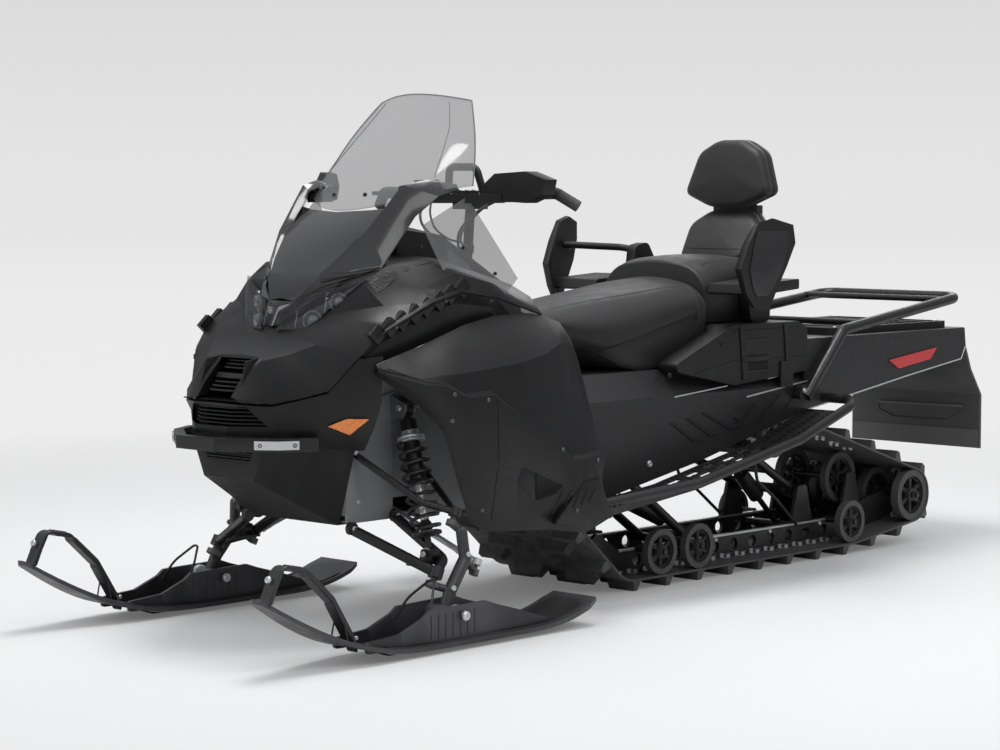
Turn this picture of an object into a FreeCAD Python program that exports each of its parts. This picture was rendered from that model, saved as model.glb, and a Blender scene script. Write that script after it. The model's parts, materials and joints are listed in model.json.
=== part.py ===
import FreeCAD, Part
import math
import os

# A two-seat utility snowmobile. X points to the nose, Y to the machine's left, Z up; millimetres.
V = FreeCAD.Vector

# Driving sizes of the whole machine
ski_tip_x = 1710.0
ski_tail_x = 572.0
tunnel_end_x = -1580.0
flap_reach = 130.0
ski_stance = 932.0
track_width = 508.0
track_room = 19.0
seam = 0.3
sheet = 4.0
panel = 5.0
pivot_clearance = 0.4

# Track loop: axles as (x, z, radius to the belt's inner face)
belt = 6.0
lug_height = 30.0
lug_pitch_wanted = 72.6
ground_run = belt + lug_height
drive_axle = (372.0, 380.0, 85.0)
carrier_wheel = (-640.0, 400.0, 67.5)
rear_idler = (-1327.0, 161.0, 83.0)
last_bogie = (-999.0, ground_run + 67.5, 67.5)
rail_bend = (72.0, ground_run + 100.0, 100.0)
track_axles = [drive_axle, carrier_wheel, rear_idler, last_bogie, rail_bend]
bogie_x = [-58.0, -230.0, -999.0]
wheel_width = 22.0
bogie_y = track_width / 2 - wheel_width / 2 - 7
axle_radius = 10.0

# Rails and suspension arms of the rear skid
rail_y = 140.0
rail_width = 12.0
rail_top = 104.0
upper_wheel_x = -1130.0
upper_wheel_radius = 83.0
shock_cross_x = (-520.0, -930.0)
shock_cross_z = 80.0
front_arm_top = (40.0, 372.0)
front_arm_low = (-372.0, 84.0)
rear_arm_top = (-553.0, 363.0)
rear_arm_low = (-868.0, 205.0)

# Tunnel and boards
tunnel_half = track_width / 2 + track_room + sheet / 2
tunnel_top_z = 702.0
tunnel_side_z = 562.0
tunnel_spine_z = 636.0
tunnel_spine_half = 214.0
tunnel_step_x = -700.0
board_y = 448.0
board_tube = 15.0

# Seats and the box under the passenger
box_top = 759.0

# Front suspension and steering, left side
kingpin_low = V(1065, 430, 182)
kingpin_high = V(985, 420, 331)
ski_y = ski_stance / 2
ski_bolt = V(1070.0, ski_y, 84.0)
ski_bolt_radius = 8.0
steering_arm_end = V(918, 434, 195)
tie_rod_inner = V(951, 150, 315)
tie_rod_sweep = 60.0
post_low = V(521, 0, 812)
post_high = V(494, 0, 1132)
post_radius = 14.0
bar_radius = 11.0
grip_radius = 16.0
shock_top = V(982, 236, 592)
shock_low = V(1024, 368, 222)
shock_eye = 17.0
eye_half = 13.7

# Nose cowl: stations and the height of its floor, which the belly pan meets
nose_joints = [1392.5, 1290.0, 1180.0]
nose_low = [535.0, 508.0, 498.0]

# Console between windshield and handlebar
console_half = 150.0
console_front = 930.0

# Front frame under the hood
frame_half = 198.0
frame_wall = 8.0
frame_low = 296.0
frame_front = 1160.0
frame_back = 506.0

# Loads of the bolt pattern and pins that a stranger uses
hitch_pin = 8.2
deck_bolt = 4.2
deck_bolt_x = 440.0
deck_bolt_y = 430.0
deck_middle_x = -1210.0

parts_folder = "parts"
os.makedirs(parts_folder, exist_ok=True)


def save(name, shapes):
    Part.makeCompound(shapes).exportStep(os.path.join(parts_folder, name + ".step"))


def flip(shape):
    return shape.mirror(V(0, 0, 0), V(0, 1, 0))


def flip_point(point):
    return V(point.x, -point.y, point.z)


def pair(shape):
    return [shape, flip(shape)]


def join(shapes):
    return shapes[0].multiFuse(shapes[1:]).removeSplitter()


def weld(shapes):
    """Joined bodies whose curved seams are left as they are."""
    return shapes[0].multiFuse(shapes[1:])


def plane_point(plane, u, v, w):
    if plane == "xz":
        return V(u, w, v)
    if plane == "yz":
        return V(w, u, v)
    return V(u, v, w)


def rounded_path(points, radius, closed):
    """Edges through the points, each corner eased by an arc of up to the radius."""
    count = len(points)
    starts = []
    ends = []
    corners = []
    for i in range(count):
        here = points[i]
        if not closed and i in (0, count - 1):
            starts.append(here)
            ends.append(here)
            corners.append(None)
            continue
        back = points[i - 1] - here
        ahead = points[(i + 1) % count] - here
        half = back.getAngle(ahead) / 2
        reach = radius / math.tan(half) if half > 0.01 else radius
        reach = min(reach, back.Length * 0.45, ahead.Length * 0.45)
        if radius <= 0 or half > math.radians(88):
            starts.append(here)
            ends.append(here)
            corners.append(None)
            continue
        first = here + V(back).normalize() * reach
        last = here + V(ahead).normalize() * reach
        bisector = V(back).normalize() + V(ahead).normalize()
        bisector.normalize()
        real_radius = reach * math.tan(half)
        middle = here + bisector * (real_radius / math.sin(half) - real_radius)
        starts.append(first)
        ends.append(last)
        corners.append(middle)
    edges = []
    last_index = count if closed else count - 1
    for i in range(count):
        if corners[i] is not None:
            edges.append(Part.Arc(starts[i], corners[i], ends[i]).toShape())
        if i < last_index:
            target = starts[(i + 1) % count]
            if ends[i].distanceToPoint(target) > 0.001:
                edges.append(Part.makeLine(ends[i], target))
    return Part.Wire(edges)


def slab(points, plane, low, high, radius=0.0):
    """A prism between two offsets of a plane, with its outline's corners rounded."""
    wire = rounded_path([plane_point(plane, u, v, low) for u, v in points], radius, True)
    direction = plane_point(plane, 0, 0, 1)
    return Part.Face(wire).extrude(direction * (high - low))


def block(low, high):
    size = V(high[0] - low[0], high[1] - low[1], high[2] - low[2])
    return Part.makeBox(size.x, size.y, size.z, V(*low))


def rod(start, end, radius):
    return Part.makeCylinder(radius, (end - start).Length, start, end - start)


def pipe(points, radius, bend):
    """A round bar along a path whose corners are eased."""
    path = rounded_path(points, bend, False)
    direction = points[1] - points[0]
    ring = Part.Wire(Part.makeCircle(radius, points[0], direction))
    return path.makePipeShell([ring], True, True)


def disc(x, z, low, high, radius):
    return Part.makeCylinder(radius, high - low, V(x, low, z), V(0, 1, 0))


def loft(sections, ruled=False):
    wires = [Part.makePolygon(points + [points[0]]) for points in sections]
    return Part.makeLoft(wires, True, ruled)


def inset_line(points, thickness):
    """The open outline moved to its right by the thickness, corners mitred."""
    count = len(points)
    moved = []
    for i in range(count):
        directions = []
        if i > 0:
            directions.append((points[i][0] - points[i - 1][0], points[i][1] - points[i - 1][1]))
        if i < count - 1:
            directions.append((points[i + 1][0] - points[i][0], points[i + 1][1] - points[i][1]))
        normals = []
        for du, dv in directions:
            size = math.hypot(du, dv)
            normals.append((dv / size, -du / size))
        nu = sum(n[0] for n in normals)
        nv = sum(n[1] for n in normals)
        size = math.hypot(nu, nv)
        nu = nu / size
        nv = nv / size
        stretch = 1 / max(0.4, nu * normals[0][0] + nv * normals[0][1])
        moved.append((points[i][0] + nu * thickness * stretch, points[i][1] + nv * thickness * stretch))
    return moved


def strip_loft(stations, thickness, ruled=False):
    """A thin panel: at each x an open outline of (y, z), given its thickness on the right."""
    sections = []
    for x, points in stations:
        inner = inset_line(points, thickness)
        loop = points + inner[::-1]
        sections.append([V(x, y, z) for y, z in loop])
    return loft(sections, ruled)


def arch(stations, thickness, ruled=False):
    """A panel mirrored over the centre plane from its left half outline."""
    full = []
    for x, half in stations:
        left = [(y, z) for y, z in half if y > 0.01]
        right = [(-y, z) for y, z in left][::-1]
        centre = [(y, z) for y, z in half if y <= 0.01]
        full.append((x, left + centre + right))
    return strip_loft(full, -thickness, ruled)


def skin(rows, thickness):
    """A panel through rows of points, flat between them, thickened along its inner normals."""
    height = len(rows)
    width = len(rows[0])
    points = [V(*p) for row in rows for p in row]
    inner = []
    for r in range(height):
        for c in range(width):
            along = points[r * width + min(c + 1, width - 1)] - points[r * width + max(c - 1, 0)]
            down = points[min(r + 1, height - 1) * width + c] - points[max(r - 1, 0) * width + c]
            inner.append(points[r * width + c] + along.cross(down).normalize() * thickness)
    base = len(points)
    faces = []
    rim = [c for c in range(width)]
    rim += [r * width + width - 1 for r in range(1, height)]
    rim += [(height - 1) * width + c for c in range(width - 2, -1, -1)]
    rim += [r * width for r in range(height - 2, 0, -1)]
    for r in range(height - 1):
        for c in range(width - 1):
            a = r * width + c
            b = a + width
            middle = c < width // 2
            for half in (((a, a + 1, b), (a + 1, b + 1, b)) if middle else ((a, a + 1, b + 1), (a, b + 1, b))):
                faces.append(half)
                faces.append(tuple(base + i for i in half[::-1]))
    for i, a in enumerate(rim):
        b = rim[(i + 1) % len(rim)]
        faces.append((b, a, base + a))
        faces.append((b, base + a, base + b))
    solid = facet_solid(points + inner, faces)
    return solid if solid.Volume > 0 else solid.reversed()


def mirrored_rows(rows):
    """Whole-width rows from their left halves, which end at the centre plane."""
    whole = []
    for row in rows:
        whole.append(list(row) + [(x, -y, z) for x, y, z in row[-2::-1]])
    return whole


def largest(shape):
    return max(shape.Solids, key=lambda solid: solid.Volume)


def coil(start, end, radius, wire, turns):
    """A compression spring's wire between two points."""
    length = (end - start).Length - 2 * wire
    helix = Part.makeHelix(length / turns, length, radius)
    corners = []
    for i in range(6):
        angle = math.radians(60 * i)
        corners.append(V(radius + wire * math.cos(angle), 0, wire * math.sin(angle)))
    section = Part.makePolygon(corners + [corners[0]])
    spring = helix.makePipeShell([section], True, True)
    turn = FreeCAD.Rotation(V(0, 0, 1), end - start)
    spring.Placement = FreeCAD.Placement(start + (end - start).normalize() * wire, turn)
    return spring


def tangent_points(first, second, grow):
    """Where a belt leaves one wheel and meets the next, both grown by an offset."""
    dx = second[0] - first[0]
    dz = second[1] - first[1]
    distance = math.hypot(dx, dz)
    ratio = (first[2] - second[2]) / distance
    along = (dx / distance, dz / distance)
    across = (-along[1], along[0])
    side = math.sqrt(1 - ratio * ratio)
    normal = (along[0] * ratio - across[0] * side, along[1] * ratio - across[1] * side)
    points = []
    for wheel in (first, second):
        size = wheel[2] + grow
        points.append((wheel[0] + normal[0] * size, wheel[1] + normal[1] * size))
    return points


def belt_runs(grow):
    """Straight runs and arcs of the loop, counter-clockwise seen from the right."""
    wheels = track_axles
    count = len(wheels)
    lines = [tangent_points(wheels[i], wheels[(i + 1) % count], grow) for i in range(count)]
    runs = []
    for i in range(count):
        runs.append(("line", lines[i][0], lines[i][1], None))
        wheel = wheels[(i + 1) % count]
        runs.append(("arc", lines[i][1], lines[(i + 1) % count][0], wheel))
    return runs


def arc_angles(start, end, wheel):
    first = math.atan2(start[1] - wheel[1], start[0] - wheel[0])
    last = math.atan2(end[1] - wheel[1], end[0] - wheel[0])
    while last < first:
        last += 2 * math.pi
    return first, last


def belt_face(grow, y):
    edges = []
    for kind, start, end, wheel in belt_runs(grow):
        first = V(start[0], y, start[1])
        last = V(end[0], y, end[1])
        if kind == "line":
            edges.append(Part.makeLine(first, last))
            continue
        low, high = arc_angles(start, end, wheel)
        middle = (low + high) / 2
        size = wheel[2] + grow
        bend = V(wheel[0] + size * math.cos(middle), y, wheel[1] + size * math.sin(middle))
        edges.append(Part.Arc(first, bend, last).toShape())
    return Part.Face(Part.Wire(edges))


def belt_places():
    """Points along the belt's outer face with the outward direction, one per lug row."""
    runs = belt_runs(belt)
    lengths = []
    for kind, start, end, wheel in runs:
        if kind == "line":
            lengths.append(math.hypot(end[0] - start[0], end[1] - start[1]))
        else:
            low, high = arc_angles(start, end, wheel)
            lengths.append((high - low) * (wheel[2] + belt))
    total = sum(lengths)
    rows = 2 * round(total / lug_pitch_wanted / 2)
    places = []
    for row in range(rows):
        left = total * (row + 0.5) / rows
        index = 0
        while left > lengths[index]:
            left -= lengths[index]
            index += 1
        kind, start, end, wheel = runs[index]
        if kind == "line":
            share = left / lengths[index]
            x = start[0] + (end[0] - start[0]) * share
            z = start[1] + (end[1] - start[1]) * share
            angle = math.atan2(end[1] - start[1], end[0] - start[0]) - math.pi / 2
        else:
            low, high = arc_angles(start, end, wheel)
            angle = low + left / (wheel[2] + belt)
            x = wheel[0] + math.cos(angle) * (wheel[2] + belt)
            z = wheel[1] + math.sin(angle) * (wheel[2] + belt)
        places.append((x, z, angle))
    return places


def lug(x, z, angle, low, high):
    """One trapezoid rubber paddle standing on the belt."""
    outward = V(math.cos(angle), 0, math.sin(angle))
    along = V(-math.sin(angle), 0, math.cos(angle))
    foot = V(x, low, z) - outward * belt / 2
    tip = V(x, low, z) + outward * lug_height
    corners = [foot - along * 17, foot + along * 17, tip + along * 9, tip - along * 9]
    wide = high - low
    inset = 9.0
    far = V(0, wide, 0)
    step = V(0, inset, 0)
    lower = [corners[0], corners[1], corners[1] + far, corners[0] + far]
    upper = [corners[3] + step, corners[2] + step, corners[2] + far - step, corners[3] + far - step]
    return loft([lower, upper], True)


def make_track():
    half = track_width / 2
    body = belt_face(belt, -half).extrude(V(0, track_width, 0))
    hollow = belt_face(0, -half - 1).extrude(V(0, track_width + 2, 0))
    body = body.cut(hollow)
    outer = [(half - 112, half - 2), (-half + 2, -half + 112), (-62, 62)]
    between = [(44, half - 94), (-half + 94, -44)]
    lugs = []
    for row, (x, z, angle) in enumerate(belt_places()):
        spans = outer if row % 2 == 0 else between
        for low, high in spans:
            lugs.append(lug(x, z, angle, low, high))
    save("track", [body.multiFuse(lugs)])


def upper_wheel():
    """The wheel that presses on the belt's upper run from inside."""
    start, end = tangent_points(carrier_wheel, rear_idler, 0)
    slope = (end[1] - start[1]) / (end[0] - start[0])
    run_z = start[1] + slope * (upper_wheel_x - start[0])
    drop = upper_wheel_radius * math.hypot(1, slope)
    return upper_wheel_x, run_z - drop, upper_wheel_radius


def wheel(x, z, y, radius, width, bore, spokes):
    """A rubber-rimmed idler: dished on both sides, with openings between its spokes."""
    low = y - width / 2
    high = y + width / 2
    hub = bore + 10
    web = radius * 0.74
    body = disc(x, z, low, high, radius)
    for start, end in ((low - 1, low + width * 0.3), (high - width * 0.3, high + 1)):
        body = body.cut(disc(x, z, start, end, web).cut(disc(x, z, start, end, hub)))
    pockets = []
    for i in range(spokes):
        corners = []
        for size, share in ((hub + 4, -0.3), (web - 4, -0.37), (web - 4, 0.37), (hub + 4, 0.3)):
            angle = 2 * math.pi * (i + share) / spokes
            corners.append((x + size * math.cos(angle), z + size * math.sin(angle)))
        pockets.append(slab(corners, "xz", low - 2, high + 2))
    body = body.cut(pockets[0].multiFuse(pockets[1:]))
    return body.cut(disc(x, z, low - 1, high + 1, bore + seam))


def make_wheels():
    shapes = []
    rolling = 0.5
    for x in bogie_x:
        shapes += pair(wheel(x, last_bogie[1], bogie_y, last_bogie[2] - rolling, wheel_width, axle_radius, 6))
    x, z, radius = upper_wheel()
    shapes += pair(wheel(x, z, 92, radius - rolling, wheel_width, axle_radius, 6))
    x, z, radius = carrier_wheel
    shapes += pair(wheel(x, z, 200, radius - rolling, wheel_width, axle_radius, 6))
    save("bogie_wheels", shapes)
    x, z, radius = rear_idler
    idlers = []
    for y in (bogie_y, 96):
        idlers += pair(wheel(x, z, y, radius - rolling, wheel_width + 6, axle_radius, 6))
    save("rear_idlers", idlers)


def make_drive():
    x, z, radius = drive_axle
    shaft = disc(x, z, -tunnel_half - 6, tunnel_half + 6, 16)
    shapes = [shaft]
    for y in (-150, -50, 50, 150):
        shapes.append(disc(x, z, y - 11, y + 11, radius - 0.6))
    save("drive_axle", [join(shapes)])


def make_rails():
    low = ground_run + 0.6
    points = [(-1372, 140), (-1372, 184), (-1190, 150), (-1120, rail_top), (20, rail_top), (118, 166)]
    points += [(158, 130), (130, 68), (72, low), (-1005, low), (-1300, low + 38)]
    outer = slab(points, "xz", rail_y - rail_width / 2, rail_y + rail_width / 2, 12)
    holes = []
    for i in range(11):
        x = -60 - i * 92.0
        holes.append(disc(x, 71, rail_y - 20, rail_y + 20, 19))
    outer = outer.cut(holes[0].multiFuse(holes[1:]))
    ears = [outer]
    for x, z in (rear_arm_low, upper_wheel()[:2]):
        ear = [(x - 60, rail_top - 20), (x + 60, rail_top - 20), (x + 22, z + 18), (x - 22, z + 18)]
        ears.append(slab(ear, "xz", rail_y - rail_width / 2, rail_y + rail_width / 2, 10))
    outer = join(ears)
    outer = outer.cut(disc(rear_idler[0], rear_idler[1], rail_y - 20, rail_y + 20, axle_radius + seam))
    save("slide_rails", pair(outer))


def make_skid_frame():
    inner = tunnel_half - seam - sheet / 2
    inside = rail_y - rail_width / 2 - seam
    shapes = []
    x1, z1 = front_arm_top
    x2, z2 = front_arm_low
    front = [disc(x1, z1, -inner, inner, 15), disc(x2, z2, -inside, inside, 14)]
    for side in (-1, 1):
        front.append(rod(V(x1, side * 110, z1), V(x2, side * 104, z2), 14))
    front.append(disc((x1 + x2) / 2, (z1 + z2) / 2, -105, 105, 12))
    shapes.append(join(front))
    x1, z1 = rear_arm_top
    x2, z2 = rear_arm_low
    rear = [disc(x1, z1, -inner, inner, 15), disc(x2, z2, -inside, inside, 16)]
    for side in (-1, 1):
        rear.append(rod(V(x1, side * 150, z1), V(x2, side * 108, z2), 14))
    middle_x = (x1 + x2) / 2
    middle_z = (z1 + z2) / 2
    rear.append(disc(middle_x, middle_z, -130, 130, 12))
    shapes.append(join(rear))
    for x in shock_cross_x:
        shapes.append(disc(x, shock_cross_z, -inside, inside, 12))
    shapes.append(disc(rear_idler[0], rear_idler[1], -262, 262, axle_radius))
    for x in bogie_x:
        for side in (-1, 1):
            near = rail_y + rail_width / 2 + seam
            far = bogie_y + wheel_width / 2 + 4
            low = min(side * near, side * far)
            high = max(side * near, side * far)
            shapes.append(disc(x, last_bogie[1], low, high, axle_radius))
    x, z, radius = upper_wheel()
    shapes.append(disc(x, z, -inside, inside, axle_radius))
    x, z, radius = carrier_wheel
    shapes.append(disc(x, z, -inner, inner, axle_radius))
    save("skid_frame", shapes)


def shock_unit(top, low, body, tube, eye_line, bore):
    """A damper with an eye at each end."""
    line = (top - low).normalize()
    length = (top - low).Length
    middle = low + line * length * 0.5
    half = eye_line * eye_half
    neck = shock_eye * 2.1
    shapes = [rod(low + line * 14, middle, tube)]
    shapes.append(rod(middle, top - line * neck, body))
    shapes.append(rod(top - line * neck, top - line * 14, body * 0.45))
    shapes.append(rod(top - half, top + half, shock_eye))
    shapes.append(rod(low - half, low + half, shock_eye))
    unit = join(shapes)
    return unit.cut(rod(top - half * 2, top + half * 2, bore)).cut(rod(low - half * 2, low + half * 2, bore))


def make_skid_shocks():
    across = V(0, 1, 0)
    bore = 12 + seam
    units = []
    for high, low, cross_x in (
        (front_arm_top, front_arm_low, shock_cross_x[0]),
        (rear_arm_top, rear_arm_low, shock_cross_x[1]),
    ):
        top = V((high[0] + low[0]) / 2, 0, (high[1] + low[1]) / 2)
        units.append(shock_unit(top, V(cross_x, 0, shock_cross_z), 25, 9, across, bore))
    save("skid_shocks", units)


def tunnel_outline(grow):
    """Half outline over the tunnel's spine and shoulders, grown outwards."""
    edge = tunnel_half + sheet / 2 + grow
    spine = tunnel_spine_half + grow * 0.5
    return [(edge, tunnel_side_z + seam), (spine, tunnel_spine_z + grow)]


def make_tunnel():
    points = [(frame_back + 14, 262), (238, 286), (-201, 364), (-687, 476), (-1249, 556), (-1560, 596)]
    points += [(tunnel_end_x - 8, 640), (tunnel_end_x, tunnel_top_z), (tunnel_step_x, tunnel_top_z)]
    points += [(tunnel_step_x, tunnel_side_z), (frame_back + 14, tunnel_side_z)]
    side = slab(points, "xz", tunnel_half - sheet / 2, tunnel_half + sheet / 2, 3)
    for x, z in (front_arm_top, rear_arm_top, carrier_wheel[:2]):
        side = side.cut(disc(x, z, tunnel_half - 9, tunnel_half + 9, 6))
    side = side.cut(disc(drive_axle[0], drive_axle[1], tunnel_half - 9, tunnel_half + 9, 16 + seam))
    for i in range(3):
        x = -330 - i * 118.0
        z = 506 + i * 22.0
        pocket = [(x, z), (x - 96, z + 16), (x - 130, z + 8), (x - 34, z - 60), (x - 16, z - 56), (x - 70, z - 16)]
        side = side.cut(slab(pocket, "xz", tunnel_half + sheet / 2 - 1.6, tunnel_half + 9, 4))
    save("tunnel_sides", pair(side))
    half = tunnel_half - sheet / 2 - seam
    left = tunnel_outline(0)
    outer = left + [(-y, z) for y, z in left[::-1]]
    inner = inset_line(outer, -sheet)
    spine = slab(outer + inner[::-1], "yz", tunnel_step_x, frame_back - seam)
    rear = block((tunnel_end_x, -half, tunnel_top_z - sheet), (tunnel_step_x, half, tunnel_top_z))
    wall = block((tunnel_step_x - sheet, -half, tunnel_side_z), (tunnel_step_x, half, tunnel_top_z))
    under = block((-800, -400, 400), (600, 400, tunnel_side_z + seam))
    top = join([rear, wall, spine.cut(under)])
    holes = []
    for x in (-deck_bolt_x / 2, deck_bolt_x / 2):
        for y in (-deck_bolt_y / 2, deck_bolt_y / 2):
            spot = V(deck_middle_x + x, y, 600)
            holes.append(Part.makeCylinder(deck_bolt, 200, spot))
    top = top.cut(pair(side)[0]).cut(pair(side)[1])
    save("tunnel_top", [top.cut(holes[0].multiFuse(holes[1:]))])
    return holes


def board_line():
    return [(398, 270), (20, 312), (-449, 402), (-705, 486)]


def make_boards():
    inner = tunnel_half + sheet / 2 + seam
    line = board_line()
    lower = [(x, z - sheet) for x, z in line[::-1]]
    plate = slab(line + lower, "xz", inner, board_y - board_tube + 4)
    slots = []
    for i in range(9):
        for y in (312.0, 352.0, 392.0):
            x = 320 - i * 84 - (y - 312) * 0.3
            slots.append(block((x - 26, y, 240), (x + 26, y + 22, 520)))
    plate = plate.cut(slots[0].multiFuse(slots[1:]))
    points = [V(396, board_y - 30, 298), V(20, board_y, 328), V(-449, board_y, 418), V(-705, board_y, 503)]
    points += [V(-790, board_y - 60, 515), V(-800, inner + 4, 515)]
    tube = pipe(points, board_tube, 60)
    rise = [(x, z + 16) for x, z in line[::-1]]
    wall = slab(line + rise, "xz", board_y - board_tube - 6, board_y - board_tube + 4)
    save("running_boards", pair(join([plate, wall, tube])))


def make_rack():
    tube = 17.0
    left = [V(-676, 300, 524), V(-868, 300, 724), V(-1546, 276, 805)]
    right = [flip_point(p) for p in left][::-1]
    loop = pipe(left + right, tube, 55)
    bars = []
    for x in (-960.0, -1440.0):
        share = (x + 868) / (-1546 + 868)
        z = 724 + share * 81 + 8
        y = 300 - share * 24
        bars.append(rod(V(x, -y, z), V(x, y, z), tube * 0.6))
    foot = pair(slab([(-722, 510), (-640, 522), (-654, 562), (-706, 560)], "xz",
                     tunnel_half + sheet / 2 + seam, 303, 8))
    save("rack", [join([loop] + bars + foot)])


def make_deck(holes):
    base = tunnel_top_z + seam
    plate = slab([(-905, -226), (-905, 226), (-1545, 236), (-1545, -236)], "xy", base, base + 22, 30)
    cuts = []
    for i in range(7):
        x = -975 - i * 84.0
        for side in (-1, 1):
            cuts.append(block((x - 56, side * 112 - 92, base + 12), (x, side * 112 + 92, base + 30)))
    tool = cuts[0].multiFuse(cuts[1:] + holes)
    save("cargo_deck", [plate.cut(tool)])


def make_flap():
    top_x = tunnel_end_x - seam
    tail_x = tunnel_end_x - flap_reach
    line = [(top_x, tunnel_top_z), (top_x, 690), (top_x - flap_reach * 0.42, 560)]
    line += [(tail_x + 11, 470), (tail_x + 11, 288)]
    outer = [(x - 11, z - 1) for x, z in line[::-1]]
    outer[-2] = (top_x - 11, 687)
    outer[-1] = (top_x - 11, tunnel_top_z)
    half = track_width / 2 + 8
    flap = slab(line + outer, "xz", -half, half)
    slot = block((tail_x - 10, -46, 560), (top_x + 20, 46, 660))
    recess = slab([(-200, 440), (200, 440), (176, 390), (150, 376), (-150, 376), (-176, 390)], "yz",
                  tail_x - 5, tail_x + 3, 6)
    inner = slab([(-190, 434), (190, 434), (168, 394), (146, 383), (-146, 383), (-168, 394)], "yz",
                 tail_x - 6, tail_x + 4, 6)
    save("snow_flap", [flap.cut(slot).cut(recess.cut(inner))])


def make_hitch():
    half = tunnel_half - sheet / 2 - seam
    bar = block((tunnel_end_x + 2, -half, 604), (tunnel_end_x + 14, half, 650))
    ears = []
    for low in (604.0, 641.0):
        ear = [(14, -36), (-60, -26), (-84, 0), (-60, 26), (14, 36)]
        ear = slab([(tunnel_end_x + x, y) for x, y in ear], "xy", low, low + 9, 8)
        ears.append(ear)
    pin_hole = Part.makeCylinder(hitch_pin, 100, V(tunnel_end_x - 58, 0, 580))
    save("hitch", [join([bar] + ears).cut(pin_hole)])


def tie_rod_windows():
    """Room for the tie rods' travel, cut from what they pass."""
    low = tie_rod_inner.y - tie_rod_sweep - 12
    window = block((tie_rod_inner.x - 46, low, 250), (tie_rod_inner.x + 44, 216, 352))
    return window.fuse(flip(window))


def make_bulkhead():
    half = frame_half
    points = [(frame_front, frame_low), (frame_front, 500), (1100, 610), (940, 640), (640, 620)]
    points += [(frame_back + 6, 600), (frame_back + 6, frame_low)]
    side = slab(points, "xz", half - frame_wall, half, 12)
    front = block((frame_front - 8, -half + 1, frame_low + 20), (frame_front, half - 1, 480))
    floor = block((frame_back, -half + 1, frame_low), (frame_front - 10, half - 1, frame_low + 6))
    wide = tunnel_half - sheet / 2 - seam
    back = block((frame_back, -wide, frame_low), (frame_back + 6, wide, 600))
    towers = []
    for shift in (-eye_half - seam - 6, eye_half + seam):
        x = shock_top.x + shift
        ear = [(half - 4, 560), (shock_top.y + 10, 568), (shock_top.y + 20, 600), (half - 4, 626)]
        towers += pair(slab(ear, "yz", x, x + 6, 6))
    bolt = rod(shock_top - V(30, 0, 0), shock_top + V(30, 0, 0), 6)
    frame = join(pair(side) + [front, floor, back] + towers)
    frame = frame.cut(tie_rod_windows())
    save("bulkhead", [join([frame] + pair(bolt))])


def make_engine():
    half = frame_half - frame_wall - seam
    motor = block((560, -half, 372), (1040, half, 690))
    save("engine", [motor.makeChamfer(18, motor.Edges)])


def make_belly(nose):
    stations = []
    rows = [(nose_joints[0], 98, 420, 150), (nose_joints[1], 124, 362, 205), (nose_joints[2], 160, 300, 232),
            (frame_front + seam, 168, 290, 232)]
    for i, (x, low_half, low, high_half) in enumerate(rows):
        high = nose_low[min(i, 2)] - seam
        left = [(high_half, high), (low_half, low)]
        stations.append((x, left + [(-y, z) for y, z in left[::-1]]))
    bowl = strip_loft(stations, 5.0, True)
    floor_top = frame_low - seam
    floor = block((frame_back, -168, floor_top - 5), (frame_front + 6, 168, floor_top))
    low_half, low, high_half = rows[0][1:]
    front = [(high_half, nose_low[0] - seam), (low_half, low), (-low_half, low), (-high_half, nose_low[0] - seam)]
    mouth = [(100, 506), (84, 470), (-84, 470), (-100, 506)]
    front = slab(front, "yz", nose_joints[0] - 5, nose_joints[0]).cut(slab(mouth, "yz", 1380, 1400))
    ribs = [block((1384, -100, z), (1392, 100, z + 4)).common(slab(mouth, "yz", 1380, 1400)) for z in (480, 492)]
    pan = join([bowl, floor, front] + ribs).cut(tie_rod_windows())
    save("belly_pan", [largest(pan.cut(nose))])


def centred(stations):
    """Closed sections from left half outlines, lowest corner first, ending at the centre plane."""
    sections = []
    for x, half in stations:
        left = [V(x, y, z) for y, z in half if y > 0]
        right = [flip_point(p) for p in left[::-1]]
        sections.append(left + [V(x, 0, half[-1][1])] + right)
    return sections


def make_body():
    """The upper body pieces, each trimmed to the one it meets."""
    lamps = make_headlamps()
    visor = make_visor()
    console = make_console()
    hood = make_hood().cut(visor)
    for lamp in lamps:
        hood = hood.cut(lamp)
    hood = largest(hood)
    nose = largest(make_nose().cut(hood))
    panel = largest(make_side_panel().cut(hood).cut(nose))
    shield = largest(make_windshield().cut(visor))
    deflector = largest(make_side_deflector().cut(hood).cut(visor).cut(shield))
    mirror = largest(make_mirror().cut(visor).cut(deflector).cut(shield))
    save("headlamps", [largest(lamp.cut(visor)) for lamp in lamps])
    save("visor", [visor])
    save("console", [console])
    save("hood", [hood])
    save("nose_cowl", [nose])
    save("side_panels", pair(panel))
    save("windshield", [shield])
    save("side_deflectors", pair(deflector))
    save("mirrors", pair(mirror))
    return nose


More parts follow.
